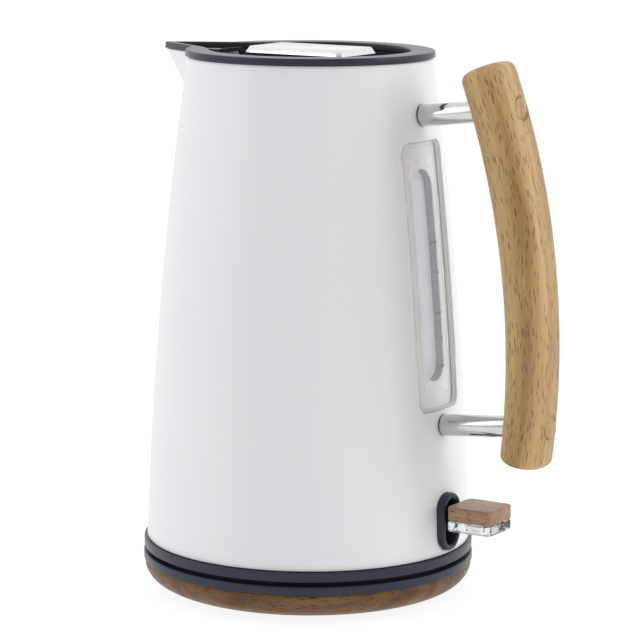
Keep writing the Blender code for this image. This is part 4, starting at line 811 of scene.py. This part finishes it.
channel = [(39.8, 128, 8, -4.4), (39.8, 128, 8, -2.8), (23.0, 101.4, 9.0, -2.8), (22.2, 100.6, 9.0, -3.1),
           (19.2, 97.8, 9.4, -3.1), (18.4, 97.0, 9.1, -2.9), (18.0, 96.6, 9.0, -3.3), (17.6, 96.2, 8.8, -6.6),
           (17.2, 95.8, 8.6, -6.9), (15.4, 94.0, 7.7, -7.3), (15.0, 93.6, 7.5, -7.32), (0, 78.6, 0, -7.35)]
behind = [(0, 79.8, 0, -8.6), (19.2, 97.8, 9.6, -8.6), (19.6, 98.2, 9.8, -4.4)]
backing = form("window_backing", stack_of(behind + channel, 12), "weld", 30)
# The channel is one moulding in three tones. The side wall is painted dark grey-blue, its own smoky tint with
# painted shade. The floor is painted pale lavender as the lit side. The fillet between them is a painted
# highlight.
smoky_wall_and_shade = skin("smoky_channel_painted_shade", (0.29, 0.32, 0.39), (0.20, 0.23, 0.29), 0.3, 0.4, 500.0, 0.00001)
pale = skin("channel_floor_painted_light", (0.80, 0.82, 0.90), (0.73, 0.755, 0.85), 0.3, 0.4, 500.0, 0.00001)
glint = skin("channel_fillet_glint", (0.92, 0.93, 0.95), (0.86, 0.87, 0.9), 0.08, 0.16, 500.0, 0.000004)
for tone in (milky, smoky_wall_and_shade, pale, glint):
    backing.data.materials.append(tone)
where = centres(backing)
depth = np.hypot(where[:, 0], where[:, 1]) - wall_radius(where[:, 2])
CHANNEL_HALF, CHANNEL_LIP, WALL_FOOT, FLOOR_EDGE, CHANNEL_BACK = 9.3, -3.15, -6.8, -7.315, -7.9
# Zones of the backing: the milky moulding, the side wall's painted shade, the floor's painted light and the
# fillet's painted highlight.
MILKY, SMOKY_SHADE, LIT_FLOOR, GLINT = range(4)
in_channel = (np.abs(where[:, 1]) < CHANNEL_HALF) & (depth < CHANNEL_LIP) & (depth > CHANNEL_BACK)
floor_zone = np.where(depth > FLOOR_EDGE, GLINT, LIT_FLOOR)
zone = np.where(in_channel, np.where(depth > WALL_FOOT, SMOKY_SHADE, floor_zone), MILKY)
backing.data.polygons.foreach_set("material_index", zone.astype(np.int32))
fit(backing, None, "jug", "clear_plastic", "window_liner")

LONG_MARK, SHORT_MARK, MARK_END, MARK_HEIGHT, MARK_ENDS = 1.8, 5.4, 8.6, 0.5, (-2.72, -2.58)
CLIP_ACROSS, CLIP_WIDTH, CLIP_HEIGHT, CLIP_ENDS = 14.0, 2.0, 6.4, (-2.75, -2.56)
ink = skin("dark_print", (0.05, 0.055, 0.065), (0.035, 0.04, 0.05), 0.4, 0.55, 900.0, 0.00001)
for number, (height, long) in enumerate(((167.6, True), (153.8, False), (135.4, True), (123.7, False),
                                         (111.0, True))):
    centre = height - WINDOW_MIDDLE
    start = LONG_MARK if long else SHORT_MARK
    bar = rounded(MARK_END - start, MARK_HEIGHT, 0.2, 4, 2, 6) + ((MARK_END + start) / 2, centre)
    mark = form(f"level_mark_{number + 1}", pushed(bar, MARK_ENDS, bowed))
    fit(mark, ink, "jug", "black_plastic")
for number, (side, share) in enumerate((s, h) for s in (-1, 1) for h in (0.26, 0.0, -0.26)):
    pad = rounded(CLIP_WIDTH, CLIP_HEIGHT, 0.3, 4, 6, 2) + (side * CLIP_ACROSS, share * WINDOW_HEIGHT)
    clip = form(f"window_clip_{number + 1}", pushed(pad, CLIP_ENDS, bowed), sharp=30)
    # The clips take the near-white finish that is painted on the channel's fillet as a highlight.
    fit(clip, glint, "jug", "clear_plastic")

# Window gasket and clamp stay as they are behind the wall. Switch bezel: a slate ring, round-ended and
# crowned, that snaps into the shell and frames the slot the lever rocks in.
BEZEL_WIDTH, BEZEL_HEIGHT, BEZEL_RING = 16.0, 27.0, 2.9
front = BEZEL_HIGH[0]
bezel_rows = []
for inset, out in [(1.0, -7.4), (1.0, -3.2), (0.0, None), (0.0, -1.1), (0.12, -0.7), (0.4, -0.32),
                   (0.9, -0.05), (1.5, 0.0),
                   (2.05, -0.12), (2.5, -0.5), (2.8, -1.1), (BEZEL_RING, -1.9), (BEZEL_RING, -7.4)]:
    ring = rounded(BEZEL_WIDTH - 2 * inset, BEZEL_HEIGHT - 2 * inset, BEZEL_WIDTH / 2 - inset, 16, 8, 2)
    if out is None:
        x = np.sqrt(wall_radius(ring[:, 1] + BEZEL_MIDDLE) ** 2 - ring[:, 0] ** 2) + 0.06
    else:
        x = np.full(len(ring), front + out)
    bezel_rows.append(np.stack([x, ring[:, 0], ring[:, 1] + BEZEL_MIDDLE], -1))
bezel = form("switch_bezel_ring", bezel_rows, "loop", 50)
fit(bezel, slate, "jug", "slate_plastic", "switch_bezel")

# Switch tab: a beech block over a clear acrylic one, fixed on the black lever's tongue.
cap = form("tab_beech", slab(*reach("switch_wood_cap"), 3.0, 0.75, 8), sharp=60)
cap_wood = finish("oiled_beech_tab", beech, {"Pale": (0.35, 0.205, 0.105), "Deep": (0.25, 0.135, 0.060),
                                             "Fleck": (0.13, 0.045, 0.028), "Fleck strength": 0.8},
                  {"Coat Weight": 0.15, "Coat Roughness": 0.35}, 0.00008)
fit(cap, cap_wood, "switch", "beech", "switch_wood_cap")
tab_low, tab_high = reach("switch_clear_tab")
tab_size = tab_high - tab_low
TAB_CORNER, TAB_CORNER_STEPS = 3.0, 8
tab_steps = [(0.75, 4.6), (0.22, 4.4), (0.0, 3.9), (0.0, 0.8), (0.22, 0.25), (0.8, 0.0), (2.4, 0.0),
             (2.8, 0.9), (5.2, 0.9),
             (5.6, 0.2), (7.6, 0.2), (8.0, 1.2)]
tab_rows = np.stack([np.column_stack([rounded(tab_size[0] - 2 * less, tab_size[1] - 2 * less,
                                              max(TAB_CORNER - less, 0.3), TAB_CORNER_STEPS),
                                      np.full(4 * TAB_CORNER_STEPS + 4, tab_low[2] + rise)]) for less,
                                      rise in tab_steps])
tab = form("tab_acrylic", tab_rows + ((tab_low[0] + tab_high[0]) / 2, 0, 0), sharp=30)
acrylic = bpy.data.materials.new("clear_acrylic")
acrylic.use_nodes = True
acrylic_shader = acrylic.node_tree.nodes["Principled BSDF"]
for socket, value in {"Base Color": (0.84, 0.85, 0.89, 1.0), "Transmission Weight": 1.0, "IOR": 1.49}.items():
    acrylic_shader.inputs[socket].default_value = value
haze = node(acrylic.node_tree, "TexNoise", {"Vector": node(acrylic.node_tree, "TexCoord").outputs["Object"],
                                            "Scale": 240.0}).outputs["Fac"]
acrylic.node_tree.links.new(ranged(acrylic.node_tree, haze, 0.3, 0.7, 0.04, 0.16),
                            acrylic_shader.inputs["Roughness"])
fit(tab, acrylic, "switch", "clear_plastic", "switch_clear_tab")

# Socket on the power base: a black well with a round contact post, two brass contact rings on its neck and a
# brass earth pin down its middle, all turned.
brass = skin("bright_brass", (0.72, 0.50, 0.20), (0.62, 0.42, 0.16), 0.18, 0.34, 900.0, 0.000006,
             Metallic=1.0)
well_low, well_high = reach("connector_housing")
well = form("socket_well", turned(eased([(8.4, well_low[2]), (19.0, well_low[2]), (19.0, well_high[2]),
                                         (8.4, well_high[2])],
                                        [0.4, 0.4, 1.3, 0.8]), 128), "loop")
fit(well, black, "power_base", "black_plastic", "connector_housing")
post_low, post_high = reach("connector_post")
step = post_high[2] - 13.8
contact_post = form("contact_post", turned([(0, post_low[2]),
                                            *eased([(7.9, post_low[2]), (7.9, step), (6.0, step),
                                           (6.0, post_high[2]), (2.0, post_high[2]), (2.0, step + 3)],
                                           [0.4, 0.6, 0.3, 1.6, 0.5, 0.2]), (0, step + 3)], 96), "weld")
fit(contact_post, black, "connector", "black_plastic", "connector_post")
for name in ("live_contact_ring", "neutral_contact_ring"):
    low, high = reach(name)
    ring = form(name + "_turned", turned(eased([(6.3, low[2]), (high[0], low[2]), (high[0], high[2]),
                                                (6.3, high[2])], 0.3), 96),
                "loop")
    fit(ring, brass, "connector", "brass", name)
pin_low, pin_high = reach("earth_pin")
pin = form("earth_pin_turned", turned([(0, pin_low[2]),
                                       *eased([(1.7, pin_low[2]), (1.7, pin_high[2]), (0.6, pin_high[2])],
                                                               [0.1, 0.8, 0.1]), (0, pin_high[2])], 48),
                                                               "weld")
fit(pin, brass, "connector", "brass", "earth_pin")
gland_radius = (gland_high[2] - gland_low[2]) / 2
gland = form("gland_sleeve", turned(eased([(2.6, gland_low[1]), (gland_radius, gland_low[1]),
                                           (gland_radius, gland_high[1]),
                                           (2.6, gland_high[1])], [0.2, 0.2, 0.5, 0.7]), 64,
                                           (0, 0, gland_centre[2]),
                                    (0, 1, 0)), "loop")
fit(gland, black, "power_base", "black_plastic", "cord_gland")

# Hidden works and underside: screws, feet, heater, control, steam tube, filter and lever keep their made
# shapes and get their finishes here.
aluminium = skin("cast_aluminium", (0.62, 0.63, 0.64), (0.50, 0.51, 0.52), 0.4, 0.62, 700.0, 0.00006,
                 Metallic=1.0)
finishes = {"black_plastic": black, "slate_plastic": slate, "steel": steel, "aluminium": aluminium,
            "brass": brass,
            "rubber": rubber, "silicone": silicone, "chrome": chrome, "clear_plastic": clear,
            "white_paint": satin_white,
            "beech": cap_wood, "dark_wood": beech_with_painted_shade}
for entry in frame["record"]["subparts"]:
    metal = frame["nodes"][entry["node"]].data
    metal.materials.clear()
    metal.materials.append(milky if entry["node"] == "window_gasket" else finishes[entry["material_slot"]])
